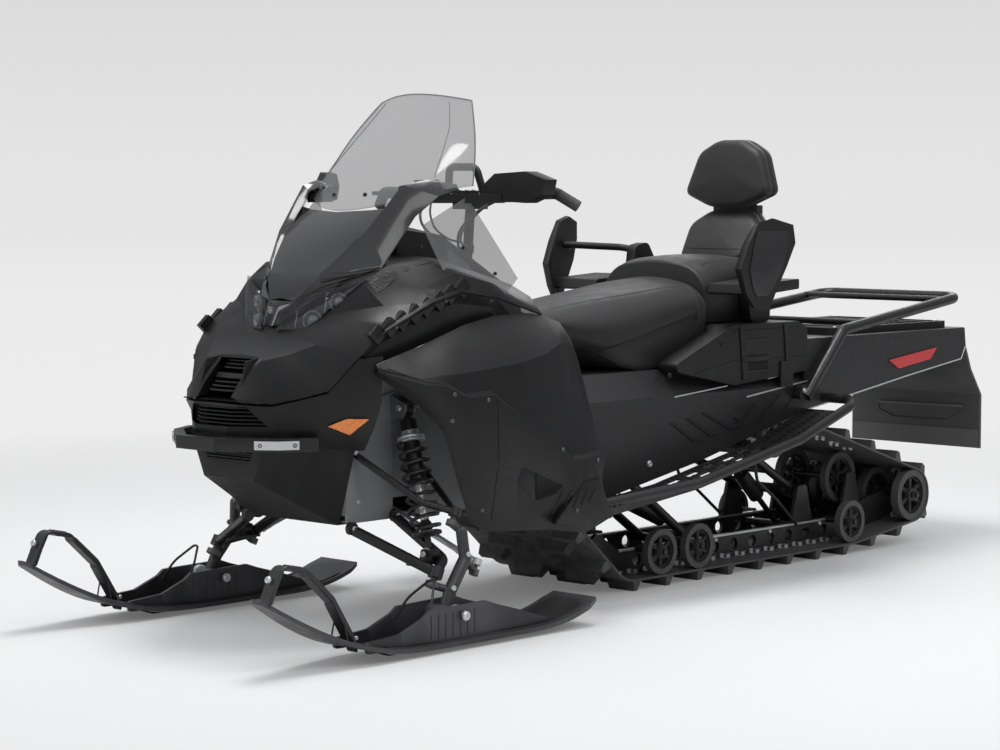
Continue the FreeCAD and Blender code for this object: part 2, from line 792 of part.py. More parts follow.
def make_hood():
    """The bonnet from the intake back to the seat, open over the console, with its side fins."""
    rows = [
        [(1428, 90, 622), (1438, 69, 636), (1440, 40, 638), (1440, 0, 638)],
        [(1389, 170, 622), (1369, 110, 728), (1352, 70, 736), (1350, 0, 739)],
        [(1345, 222, 636), (1322, 150, 742), (1300, 84, 754), (1296, 0, 758)],
        [(1288, 270, 655), (1268, 200, 768), (1252, 90, 788), (1258, 0, 786)],
        [(1230, 320, 740), (1180, 260, 831), (1190, 160, 842), (1200, 0, 846)],
        [(1160, 348, 806), (1113, 290, 866), (1126, 225, 922), (1140, 0, 926)],
        [(1000, 352, 872), (1000, 312, 908), (1040, 250, 966), (1050, 0, 984)],
        [(883, 348, 896), (883, 320, 946), (900, 254, 984), (900, 0, 1000)],
        [(740, 342, 876), (740, 318, 915), (740, 246, 945), (740, 0, 960)],
        [(560, 334, 826), (560, 290, 872), (560, 214, 905), (560, 0, 916)],
    ]
    hood = skin(mirrored_rows(rows), panel)
    room = block((400, -console_half - seam, 700), (console_front + seam, console_half + seam, 1200))
    mouth = slab([(-64, 634), (64, 634), (66, 730), (-66, 730)], "yz", 1340, 1460)
    blade = slab([(1366, -66), (1366, 66), (1404, 62), (1404, -62)], "xy", 676, 681)
    duct = [block((1290, -80, 640), (1294, 80, 753))]
    cheek = [(1290, 640), (1290, 752), (1345, 736), (1400, 726), (1424, 640)]
    duct += pair(slab(cheek, "xz", 76, 80))
    flank = skin([
        [(1216, 324, 746), (1160, 345, 803), (1000, 349, 869), (883, 345, 893), (740, 339, 873)],
        [(1206, 316, 736), (1150, 322, 772), (1000, 322, 838), (883, 320, 866), (740, 320, 850)],
        [(1202, 318, 716), (1110, 324, 734), (1000, 324, 764), (880, 320, 792), (740, 318, 814)],
    ], panel)
    hood = join([hood.cut(room).cut(mouth), blade] + duct + pair(flank))
    fins = []
    for i in range(8):
        x = 1186 - i * 44.0
        top = 790 + (1186 - x) * 0.36
        fin = [(x + 26, top + 6), (x - 6, top + 34), (x - 34, top + 12), (x - 6, top - 22)]
        fins += pair(slab(fin, "xz", 326, 340 + (i % 2) * 3))
    return weld([hood] + fins)


def make_nose():
    """The cowl band round the front: grille opening with slats, cheeks and the reflectors' seats."""
    rows = [
        [(1174, 348, 742), (1230, 316, 734), (1288, 264, 648), (1389, 166, 616), (1428, 86, 616), (1436, 0, 618)],
        [(1172, 340, 622), (1226, 306, 616), (1292, 250, 598), (1386, 150, 590), (1442, 66, 592), (1446, 0, 592)],
        [(1174, 316, 560), (1210, 296, 556), (1296, 238, 556), (1380, 152, 556), (1448, 62, 556), (1452, 0, 556)],
        [(1176, 280, nose_low[2]), (1206, 262, 498), (1292, 214, nose_low[1]), (1392, 138, nose_low[0]),
         (1446, 58, 538), (1450, 0, 538)],
    ]
    band = skin(mirrored_rows(rows), panel)
    mouth = slab([(-150, 562), (150, 562), (104, 612), (-104, 612)], "yz", 1300, 1500)
    slats = []
    for z in (570.0, 580.0, 590.0, 600.0):
        left = [(1434, 0), (1434, 58), (1330, 176)]
        plan = left + [(x, -y) for x, y in left[:0:-1]]
        inner = [(x - 14, y) for x, y in plan[::-1]]
        slats.append(slab(plan + inner, "xy", z, z + 3.2))
    return weld([band.cut(mouth)] + slats)


def make_side_panel():
    """Shield over the clutch side: sloped shoulder, stepped crease and a lower face to the footwell."""
    rows = [
        [(1200, 350, 718), (1204, 356, 714), (1204, 358, 711), (1203, 360, 708), (1198, 352, 704), (1192, 342, 700)],
        [(1110, 351, 743), (1110, 408, 684), (1106, 416, 678), (1100, 427, 669), (1094, 412, 640), (1088, 396, 612)],
        [(1046, 349, 757), (1046, 430, 686), (1044, 434, 672), (1040, 445, 661), (1034, 438, 600), (1028, 420, 548)],
        [(977, 347, 777), (985, 440, 689), (978, 444, 640), (976, 456, 629), (962, 450, 470), (936, 424, 300)],
        [(880, 345, 806), (880, 443, 696), (884, 447, 642), (884, 459, 631), (880, 454, 450), (880, 428, 272)],
        [(760, 341, 826), (758, 444, 708), (760, 449, 567), (760, 461, 556), (760, 456, 410), (760, 428, 262)],
        [(640, 333, 829), (640, 426, 727), (640, 449, 498), (640, 461, 487), (640, 456, 380), (632, 428, 254)],
        [(560, 330, 820), (560, 394, 748), (566, 448, 447), (566, 460, 438), (560, 456, 340), (548, 428, 240)],
        [(491, 330, 799), (496, 370, 744), (500, 446, 449), (500, 458, 440), (498, 454, 350), (486, 428, 232)],
        [(454, 338, 752), (450, 360, 700), (440, 436, 453), (438, 448, 443), (446, 448, 370), (404, 436, 262)],
    ]
    shell = skin(rows, panel)
    inset = slab([(777, 436), (612, 372), (640, 350), (701, 338), (792, 398)], "xz", 440, 480, 4)
    lid = slab([(768, 428), (630, 374), (646, 357), (700, 347), (781, 398)], "xz", 440, 456.5, 4)
    shell = shell.cut(inset).fuse(lid.common(inset))
    foot = slab([(652, 270), (530, 376), (466, 380), (412, 266)], "xz", 446, 463, 6)
    edge = frame_half + seam
    wall = slab([(edge, 300), (418, 284), (449, 430), (444, 640), (352, 780), (edge, 660)], "yz", 874, 879)
    return weld([shell, foot, wall])


def make_bumper():
    """An angular band round the nose with a flat deck behind its upper edge."""
    left = [(1310, 258), (1404, 206), (1486, 96), (1506, 74)]
    plan = left + [(x, -y) for x, y in left[::-1]]
    face = inset_line(plan, 14.0)
    deck = inset_line(plan, 25.0)
    band = slab(plan + face[::-1], "xy", 502, 536, 6)
    shelf = slab(plan + deck[::-1], "xy", 530, 536, 4)
    sill = slab(plan + deck[::-1], "xy", 502, 507, 4)
    foot = rod(V(1345, 226, 511), V(1345, 176.4, 511), 8)
    save("front_bumper", [join([band, shelf, sill] + pair(foot))])


def facet_solid(points, faces):
    shells = []
    for face in faces:
        corners = [V(*points[i]) for i in face]
        shells.append(Part.Face(Part.makePolygon(corners + [corners[0]])))
    return Part.makeSolid(Part.makeShell(shells))


def hull_prism(front, back):
    """A solid between two outlines with the same number of points."""
    return loft([[V(*p) for p in front], [V(*p) for p in back]], True)


def make_headlamps():
    front = [(1252, 30, 799), (1232, 112, 802), (1210, 142, 830), (1170, 188, 881), (1122, 232, 932),
             (1156, 174, 914), (1192, 104, 894), (1226, 54, 864), (1244, 32, 846)]
    back = [(x - 52, y - 4, z - 16) for x, y, z in front]
    return pair(facet_fan(front, back))


def make_visor():
    """Gloss mask under the windshield, with a raised fin up each side."""
    rows = [
        [(1196, 96, 884), (1206, 48, 874), (1210, 0, 880)],
        [(1060, 219, 962), (1160, 106, 940), (1170, 0, 944)],
        [(1000, 219, 1030), (1076, 140, 1030), (1100, 0, 1024)],
        [(952, 205, 1120), (990, 120, 1110), (1008, 0, 1104)],
    ]
    shield = skin(mirrored_rows(rows), panel)
    lip = skin(mirrored_rows([
        [(1050, 222, 950), (1160, 112, 912), (1206, 46, 872), (1214, 0, 872)],
        [(1052, 216, 938), (1164, 104, 890), (1234, 22, 812), (1240, 0, 806)],
    ]), panel)
    fin = skin([
        [(1170, 112, 924), (1160, 100, 944), (1150, 92, 938)],
        [(1056, 222, 958), (1064, 168, 1052), (1050, 150, 1040)],
        [(940, 232, 1094), (952, 195, 1176), (944, 176, 1162)],
        [(880, 256, 1146), (881, 214, 1190), (872, 190, 1180)],
        [(812, 266, 1164), (806, 250, 1178), (800, 240, 1176)],
    ], panel)
    return weld([shield, lip] + pair(fin))


def facet_fan(front, back):
    """A plate between two outlines, each face split from its first corner."""
    count = len(front)
    points = front + back
    faces = []
    for i in range(1, count - 1):
        faces.append((0, i, i + 1))
        faces.append((count, count + i + 1, count + i))
    for i in range(count):
        j = (i + 1) % count
        faces.append((i, j, count + j))
        faces.append((i, count + j, count + i))
    return facet_solid(points, faces)


def make_windshield():
    rows = [
        [(792, 296, 1176), (936, 168, 1136), (1000, 0, 1110)],
        [(760, 272, 1240), (872, 150, 1214), (925, 0, 1196)],
        [(722, 236, 1316), (790, 130, 1306), (832, 0, 1298)],
        [(672, 176, 1406), (702, 92, 1420), (716, 0, 1426)],
    ]
    grid = []
    for row in rows:
        left = [V(*p) for p in row]
        grid.append([flip_point(p) for p in left] + left[1::-1])
    surface = Part.BSplineSurface()
    surface.interpolate(grid)
    return surface.toShape().extrude(V(-3.5, 0, -3.5))


def make_side_deflector():
    front = [(930, 246, 1070), (812, 296, 1146), (668, 345, 926), (700, 328, 880), (900, 330, 896)]
    back = [(x - 2, y - 4, z - 1) for x, y, z in front]
    return facet_fan(front, back)


def make_mirror():
    """Rear-view mirror pod on its two-legged arm."""
    outline = [(300, 1172), (330, 1206), (400, 1212), (446, 1190), (440, 1150), (400, 1128), (330, 1134)]
    front = [(762 - (y - 300) * 0.62, y, z) for y, z in outline]
    back = [(x - 46, y + 2, z) for x, y, z in front]
    pod = hull_prism(front, back)
    plan = [(905, 196), (920, 214), (742, 352), (706, 338)]
    arm = slab(plan, "xy", 1128, 1152, 6)
    hole = slab([(838, 262), (800, 276), (768, 312)], "xy", 1120, 1160, 3)
    return join([pod, arm.cut(hole)])


def make_console():
    half = console_half
    stations = [
        (console_front, [(half, 990), (half, 1060), (0, 1078)]),
        (760, [(half, 950), (half, 1040), (0, 1064)]),
        (600, [(half, 905), (half - 12, 958), (0, 968)]),
        (430, [(110, 800), (104, 880), (0, 892)]),
        (372, [(84, 780), (80, 828), (0, 838)]),
    ]
    hole = rod(post_low, post_high, post_radius + pivot_clearance)
    return loft(centred(stations), True).cut(hole)


def pad(stations):
    return loft(centred(stations), True)


def make_seats():
    floor = tunnel_spine_z + seam
    driver = pad([
        (350, [(86, 752), (92, 790), (78, 812), (0, 822)]),
        (250, [(140, 724), (146, 778), (104, 818), (0, 832)]),
        (100, [(186, 690), (192, 760), (128, 832), (0, 848)]),
        (-60, [(200, floor), (206, 760), (146, 850), (0, 866)]),
        (-230, [(204, floor), (214, 770), (168, 876), (0, 894)]),
        (-300, [(204, floor), (206, 780), (170, 878), (0, 896)]),
    ])
    save("driver_seat", [driver])
    base = box_top + seam
    passenger = pad([
        (-300 - seam, [(176, base), (184, 820), (150, 900), (0, 918)]),
        (-360, [(196, base), (204, 840), (160, 936), (0, 952)]),
        (-520, [(200, base), (206, 860), (160, 946), (0, 958)]),
        (-640, [(186, base), (190, 860), (150, 944), (0, 950)]),
    ])
    save("passenger_seat", [passenger])
    return passenger


def make_backrest(seat):
    lower = loft([
        [V(-560, -104, 944), V(-560, 104, 944), V(-638, 104, 944), V(-638, -104, 944)],
        [V(-628, -138, 1030), V(-628, 138, 1030), V(-712, 138, 1030), V(-712, -138, 1030)],
        [V(-668, -118, 1094), V(-668, 118, 1094), V(-734, 118, 1094), V(-734, -118, 1094)],
    ], True)
    outline = [(-112, 1112), (112, 1112), (164, 1150), (160, 1236), (118, 1300), (0, 1318)]
    outline += [(-118, 1300), (-160, 1236), (-164, 1150)]
    front = [(-642 - (z - 1112) * 0.12, y, z) for y, z in outline]
    back = [(x - 74, y, z) for x, y, z in front]
    upper = hull_prism(front, back)
    posts = pair(rod(V(-690, 62, 1080), V(-694, 62, 1150), 9))
    save("backrest", [largest(join([lower, upper] + posts).cut(seat))])


def make_storage_box():
    points = [(-30, 640), (-283, 738), (-330, box_top), (-655, box_top), (-698, 735), (-698, 606)]
    points += [(-340, 579)]
    body = slab(points, "xz", -288, 288, 16)
    left = tunnel_outline(seam)
    left[0] = (left[0][0], left[0][1] - 100)
    left.insert(1, (left[0][0], tunnel_side_z + 2 * seam))
    saddle = slab(left + [(-y, z) for y, z in left[::-1]], "yz", -900, 200)
    seat_room = block((-300 - seam, -216, 500), (100, 216, 800))
    save("storage_box", [body.cut(saddle).cut(seat_room)])


def make_hand_guards():
    """Passenger's grips: a boss on the seat's flank, a loop of two bars and a deflector shell."""
    base = box_top + seam
    side = 214.0
    boss = slab([(-560, base), (-468, base), (-452, 860), (-470, 985), (-530, 996), (-566, 940)], "xz",
                side, side + 34, 24)
    upper = pipe([V(-512, side + 20, 968), V(-500, 300, 978), V(-345, 409, 988)], 11, 30)
    lower = slab([(-500, 866), (-500, 896), (-300, 884), (-286, 850)], "xz", side + 10, 404, 6)
    rows = [
        [(-300, 384, 1056), (-304, 401, 1064), (-359, 411, 1078), (-424, 438, 1058)],
        [(-262, 374, 1000), (-264, 397, 1002), (-350, 420, 1005), (-430, 442, 1004)],
        [(-234, 370, 930), (-232, 393, 931), (-320, 418, 932), (-404, 432, 938)],
        [(-260, 374, 862), (-256, 396, 860), (-318, 418, 868), (-366, 426, 872)],
        [(-292, 386, 818), (-290, 402, 812), (-308, 414, 805), (-334, 422, 812)],
    ]
    shell = skin(rows, 14)
    save("hand_guards", pair(join([boss, upper, lower, shell])))


def kingpin():
    return (kingpin_high - kingpin_low).normalize()


def make_arms():
    axis = kingpin()
    side = frame_half + seam
    stud = 8 + pivot_clearance
    lower = [rod(kingpin_low - axis * 14, kingpin_low + axis * 14, 19)]
    inner = V(1150, side, 284)
    lower.append(rod(kingpin_low, inner, 14))
    lower.append(rod(inner, inner + V(0, 14, 0), 17))
    inner = V(992, side, 304)
    lower.append(pipe([kingpin_low, V(986, 378, 204), inner], 14, 30))
    lower.append(rod(inner, inner + V(0, 14, 0), 17))
    x = shock_low.x
    low = shock_low.z - shock_eye - 3
    lower.append(slab([(x - 44, 346), (x + 70, 346), (x + 66, 392), (x - 44, 386)], "xy", low - 6, low, 5))
    for shift in (-eye_half - seam - 6, eye_half + seam):
        ear = [(346, low - 4), (392, low - 4), (shock_low.y + 15, shock_low.z + 12)]
        ear += [(shock_low.y - 15, shock_low.z + 12)]
        lower.append(slab(ear, "yz", x + shift, x + shift + 6, 6))
    frame_side = block((800, 0, 200), (1250, side, 600))
    arm = join(lower).cut(rod(kingpin_low - axis * 30, kingpin_low + axis * 30, stud)).cut(frame_side)
    bolt = rod(shock_low - V(26, 0, 0), shock_low + V(26, 0, 0), 6)
    save("lower_arms", pair(join([arm, bolt])))
    upper = [rod(kingpin_high - axis * 12, kingpin_high + axis * 12, 16)]
    for bow, inner in ((V(1062, 372, 360), V(1144, side, 484)), (V(958, 350, 366), V(900, side, 440))):
        upper.append(pipe([kingpin_high, bow, inner], 9, 40))
        upper.append(rod(inner, inner + V(0, 12, 0), 13))
    arm = join(upper).cut(rod(kingpin_high - axis * 30, kingpin_high + axis * 30, stud)).cut(frame_side)
    save("upper_arms", pair(arm))


def make_front_shocks():
    unit = shock_unit(shock_top, shock_low, 22, 8, V(1, 0, 0), 6 + seam)
    line = (shock_top - shock_low).normalize()
    start = shock_low + line * 56
    end = shock_top - line * 92
    seat = rod(start - line * 6, start, 39)
    collar = rod(end, end + line * 12, 34)
    save("front_shocks", pair(join([unit, seat, collar])))
    save("front_springs", pair(coil(start + line * seam, end - line * seam, 37, 5, 8)))


def make_handlebar():
    post = rod(post_low, post_high, post_radius)
    clamp = block((468, -42, 1108), (524, 42, 1160))
    save("steering_post", [join([post, clamp])])
    side = [V(500, 44, 1140), V(520, 150, 1150), V(506, 336, 1154), V(476, 386, 1120)]
    bar = [flip_point(p) for p in side[::-1]] + side
    tube = pipe(bar, bar_radius, 30)
    loop = pipe([V(512, -70, 1148), V(526, -52, 1226), V(526, 52, 1226), V(512, 70, 1148)], 11, 24)
    shape = join([tube, loop]).cut(block((460, -42 - seam, 1100), (530, 42 + seam, 1170)))
    save("handlebar", shape.Solids)
    grips = []
    grip = pipe([V(517, 190, 1151), V(506, 336, 1154), V(474, 389, 1117)], grip_radius, 30)
    core = pipe(side, bar_radius + 0.2, 30)
    grips += pair(grip.cut(core))
    save("grips", grips)
    pod = block((500, 120, 1128), (556, 168, 1176)).cut(pipe(side, bar_radius + 0.3, 30))
    levers = pipe([V(548, 150, 1150), V(576, 220, 1152), V(566, 320, 1152)], 6, 30)
    other = flip(join([block((500, 120, 1128), (548, 176, 1180)), levers]))
    other = other.cut(flip(pipe(side, bar_radius + 0.3, 30)))
    save("controls", [join([pod, levers]), other])


def ski_x(share):
    """A place along the ski, from its tail at 0 to its tip at 1."""
    return ski_tail_x + (ski_tip_x - ski_tail_x) * share


def ski_profile():
    sections = [(0, 64), (0.11, 24), (0.29, 13), (0.55, 13), (0.67, 22), (0.8, 62), (0.905, 118), (1, 180)]
    return [V(ski_x(share), 0, z) for share, z in sections]


def curve_slab(points, thickness, low, high):
    """A plate of even height whose underside follows a smooth side curve."""
    under = Part.BSplineCurve()
    under.interpolate(points)
    over = Part.BSplineCurve()
    over.interpolate([p + V(0, 0, thickness) for p in points])
    edges = [under.toShape(), Part.makeLine(points[-1], points[-1] + V(0, 0, thickness)),
             over.toShape(), Part.makeLine(points[0] + V(0, 0, thickness), points[0])]
    face = Part.Face(Part.Wire(Part.__sortEdges__(edges)))
    face.translate(V(0, low, 0))
    return face.extrude(V(0, high - low, 0))


def make_ski():
    profile = ski_profile()
    plate = curve_slab(profile, 12, -100, 100)
    plan = [(ski_tail_x - 12, -74), (ski_x(0.03), -88), (ski_x(0.17), -88), (ski_x(0.71), -86)]
    plan += [(ski_x(0.87), -52), (ski_tip_x, -24)]
    plan = plan + [(x, -y) for x, y in plan[::-1]]
    plate = plate.common(slab(plan, "xy", -5, 260, 20))
    walls = []
    for side in (-1, 1):
        top = [(0.73, 54), (0.63, 62), (0.56, 92), (0.54, 108), (0.36, 112), (0.33, 100), (0.25, 74), (0.15, 38)]
        points = [(ski_x(0.15), 20), (ski_x(0.73), 26)] + [(ski_x(share), z) for share, z in top]
        low = side * 58 - 5
        walls.append(slab(points, "xz", low, low + 10, 8))
    keel = [(0.11, 14), (0.165, 0), (0.62, 0), (0.69, 26), (0.64, 26), (0.15, 26)]
    keel = slab([(ski_x(share), z) for share, z in keel], "xz", -9, 9)
    loop_points = [V(ski_x(0.981), 0, 172), V(ski_x(0.963), 0, 216), V(ski_x(0.938), 0, 268)]
    loop_points += [V(ski_x(0.868), 0, 252), V(ski_x(0.789), 0, 170), V(ski_x(0.72), 0, 44)]
    start = ski_x(0.981)
    corners = [V(start, -19, 172), V(start, 19, 172), V(start - 18, 19, 178), V(start - 18, -19, 178)]
    ring = Part.Wire(rounded_path(corners, 4, True))
    loop = rounded_path(loop_points, 30, False).makePipeShell([ring], True, True)
    ski = join([plate] + walls + [keel, loop])
    bolt = rod(V(ski_bolt.x, -90, ski_bolt.z), V(ski_bolt.x, 90, ski_bolt.z), ski_bolt_radius + seam)
    return ski.cut(bolt)


def make_spindle():
    """Left spindle: a forged leg from the ski bolt up behind both ball joints."""
    axis = kingpin()
    foot = V(ski_bolt.x, ski_y, ski_bolt.z)
    knee = V(1046, ski_y - 4, 138)
    waist = V(984, 454, 212)
    head = V(988, 446, 284)
    low_lug = kingpin_low - axis * 40
    high_lug = kingpin_high - axis * 38
    leg = [rod(foot, knee, 17), rod(knee, waist, 17), rod(waist, head, 15)]
    for corner, size in ((knee, 17), (waist, 17), (head, 15)):
        leg.append(Part.makeSphere(size, corner))
    leg.append(rod(foot - V(0, 52, 0), foot + V(0, 52, 0), 22))
    leg.append(rod(low_lug, low_lug + axis * 14, 20))
    leg.append(rod(low_lug + axis * 7, knee, 10))
    leg.append(rod(high_lug, high_lug + axis * 14, 15))
    leg.append(rod(high_lug + axis * 7, head, 11))
    for ball, lug_point in ((kingpin_low, low_lug), (kingpin_high, high_lug)):
        leg.append(rod(lug_point, ball + axis * 10, 8))
    end = steering_arm_end - axis * 28
    leg.append(rod(end, waist, 10))
    leg.append(rod(end - axis * 8, end + axis * 8, 13))
    leg.append(rod(end, steering_arm_end + axis * 10, 5))
    leg.append(rod(foot - V(0, 74, 0), foot + V(0, 74, 0), ski_bolt_radius))
    return join(leg)


def make_front_end():
    ski = make_ski()
    ski.translate(V(0, ski_y, 0))
    spindle = make_spindle()
    save("ski_left", [ski])
    save("ski_right", [flip(ski)])
    save("spindle_left", [spindle])
    save("spindle_right", [flip(spindle)])
    end = steering_arm_end
    axis = kingpin()
    tie = [rod(end - axis * 8, end + axis * 9, 12)]
    tie.append(rod(end, tie_rod_inner, 8))
    tie = join(tie).cut(rod(end - axis * 20, end + axis * 20, 5 + pivot_clearance))
    save("tie_rod_left", [tie])
    save("tie_rod_right", [flip(tie)])


def make_reflectors(nose):
    amber = slab([(1206, 546), (1262, 558), (1278, 580), (1236, 588)], "xz", 200, 296, 3)
    amber = max(amber.cut(nose).Solids, key=lambda solid: solid.CenterOfMass.y)
    red = slab([(-1146, 613), (-1199, 588), (-1374, 610), (-1408, 642)], "xz",
               tunnel_half + sheet / 2 + seam, tunnel_half + sheet / 2 + 5, 4)
    amber = amber.common(block((1200, 200, 500), (1300, 282, 600)))
    save("side_reflectors", pair(amber) + pair(red))


make_track()
make_wheels()
make_drive()
make_rails()
make_skid_frame()
make_skid_shocks()
deck_holes = make_tunnel()
make_boards()
make_rack()
make_deck(deck_holes)
make_flap()
make_hitch()
make_bulkhead()
make_engine()
nose = make_body()
make_belly(nose)
make_bumper()
passenger = make_seats()
make_backrest(passenger)
make_storage_box()
make_hand_guards()
make_arms()
make_front_shocks()
make_handlebar()
make_front_end()
make_reflectors(nose)
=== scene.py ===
"""Looks of a two-seat utility snowmobile: finishes, seats, trim and the stage around its solid frame."""

import json
import math

import bpy
import bmesh
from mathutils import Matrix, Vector
from mathutils.bvhtree import BVHTree


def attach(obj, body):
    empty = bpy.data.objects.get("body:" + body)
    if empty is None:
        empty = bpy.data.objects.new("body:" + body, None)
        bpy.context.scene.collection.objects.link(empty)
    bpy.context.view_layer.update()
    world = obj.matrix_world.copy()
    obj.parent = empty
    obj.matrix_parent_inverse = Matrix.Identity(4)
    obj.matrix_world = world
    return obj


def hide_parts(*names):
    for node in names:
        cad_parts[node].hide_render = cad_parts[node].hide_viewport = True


bl_info = {
    "name": "Two-seat snowmobile looks",
    "version": (1, 0, 0),
    "blender": (4, 5, 0),
    "location": "3D View > Sidebar > Snowmobile",
    "description": "Finishes, seats, trim and stage for a two-seat utility snowmobile",
    "category": "Object",
}

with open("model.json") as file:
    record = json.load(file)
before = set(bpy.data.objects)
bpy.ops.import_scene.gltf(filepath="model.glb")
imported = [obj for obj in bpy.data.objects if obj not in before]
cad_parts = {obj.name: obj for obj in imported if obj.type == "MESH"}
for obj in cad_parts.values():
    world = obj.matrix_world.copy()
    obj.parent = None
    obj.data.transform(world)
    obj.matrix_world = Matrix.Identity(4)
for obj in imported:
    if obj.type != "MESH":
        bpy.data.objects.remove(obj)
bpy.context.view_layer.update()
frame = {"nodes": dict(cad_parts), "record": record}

CHASSIS = "chassis"
HANDLEBAR = "handlebar_set"
SIDES = (-1, 1)
NAMED_SIDES = (("left", 1), ("right", -1))
UP = (0, 0, 1)
DOWN = (0, 0, -1)
LEFT = (0, 1, 0)
WELD_DISTANCE = 0.00002
SHARP_ANGLE = 35.0
SOFT_ANGLE = 50.0
SLAT = (0, 0, 0.0035)

# Places and pitches on the frame, in millimetres; BESIDE is how far out a line starts that is to meet a node.
TUNNEL_WALL = 277
BOX_WALL = 290
SKI_MIDDLE = 466
RAIL_MIDDLE = 140
SPRING_CENTRE = (-553, 363)
SPRING_COIL = 27
CLIP_PITCH = 72.6
TOOTH_PITCH = 22
GRIP_RIB_PITCH = 8.6
MAT_PITCH = 84
SCREEN_SHIFT = 1.7
PAD_END = 14.0
BESIDE = {"side_panels": 560, "console": 260, "hood": 460, "storage_box": 400}

# The studio: greys of what the camera sees, strengths of the sky, and the fitted camera.
CAMERA_PLACE = (5.767783, 5.124425, 1.180771)
CAMERA_TURN = (85.791, 0.0, 133.5334)
SENSOR_WIDTH = 36.0
BACKDROP_LOW = 0.785
BACKDROP_TOP = 0.69
BACKDROP_RISE = 0.09
FLOOR_NEAR = 0.845
FLOOR_PALING = (7.0, 52.0)
FLOOR_FADE = (2.0, 5.2)
FLOOR_FILL = 0.12
SKY_COLOUR = (0.9, 0.92, 0.95, 1.0)
SKY_RISE = 0.8
SKY_LOW = 0.22
SKY_TOP = 0.62
LAMPS = (
    ("key", (1.5, 5.5, 5.5), (0.2, 0.0, 0.5), 5.0, 3.0, 92.0),
    ("overhead", (0.2, -0.2, 4.2), (0.0, 0.0, 0.0), 2.6, 1.6, 112.0),
    ("nose", (7.0, -2.5, 3.2), (0.6, 0.0, 0.6), 3.0, 2.5, 60.0),
    ("rear", (-6.0, -3.0, 3.6), (-0.6, 0.0, 0.6), 3.5, 2.5, 60.0),
)


def mm(*values):
    """A point given in millimetres, as metres."""
    return Vector([value / 1000 for value in values])


def level(plan, z):
    """The points of a plan (x, y) at one height."""
    return [mm(x, y, z) for x, y in plan]


def upright(outline, y):
    """The points of an outline (x, z) seen from the side, at one distance from the centre plane."""
    return [mm(x, y, z) for x, z in outline]


def eased(points, radius, steps=5, closed=False):
    """The path with its corners rounded."""
    path = []
    count = len(points)
    for i, point in enumerate(points):
        here = Vector(point)
        if not closed and i in (0, count - 1):
            path.append(here)
            continue
        back = Vector(points[i - 1]) - here
        ahead = Vector(points[(i + 1) % count]) - here
        reach = min(radius, back.length * 0.45, ahead.length * 0.45)
        start = here + back.normalized() * reach
        end = here + ahead.normalized() * reach
        for step in range(steps + 1):
            share = step / steps
            path.append(start.lerp(here, share).lerp(here.lerp(end, share), share))
    return path


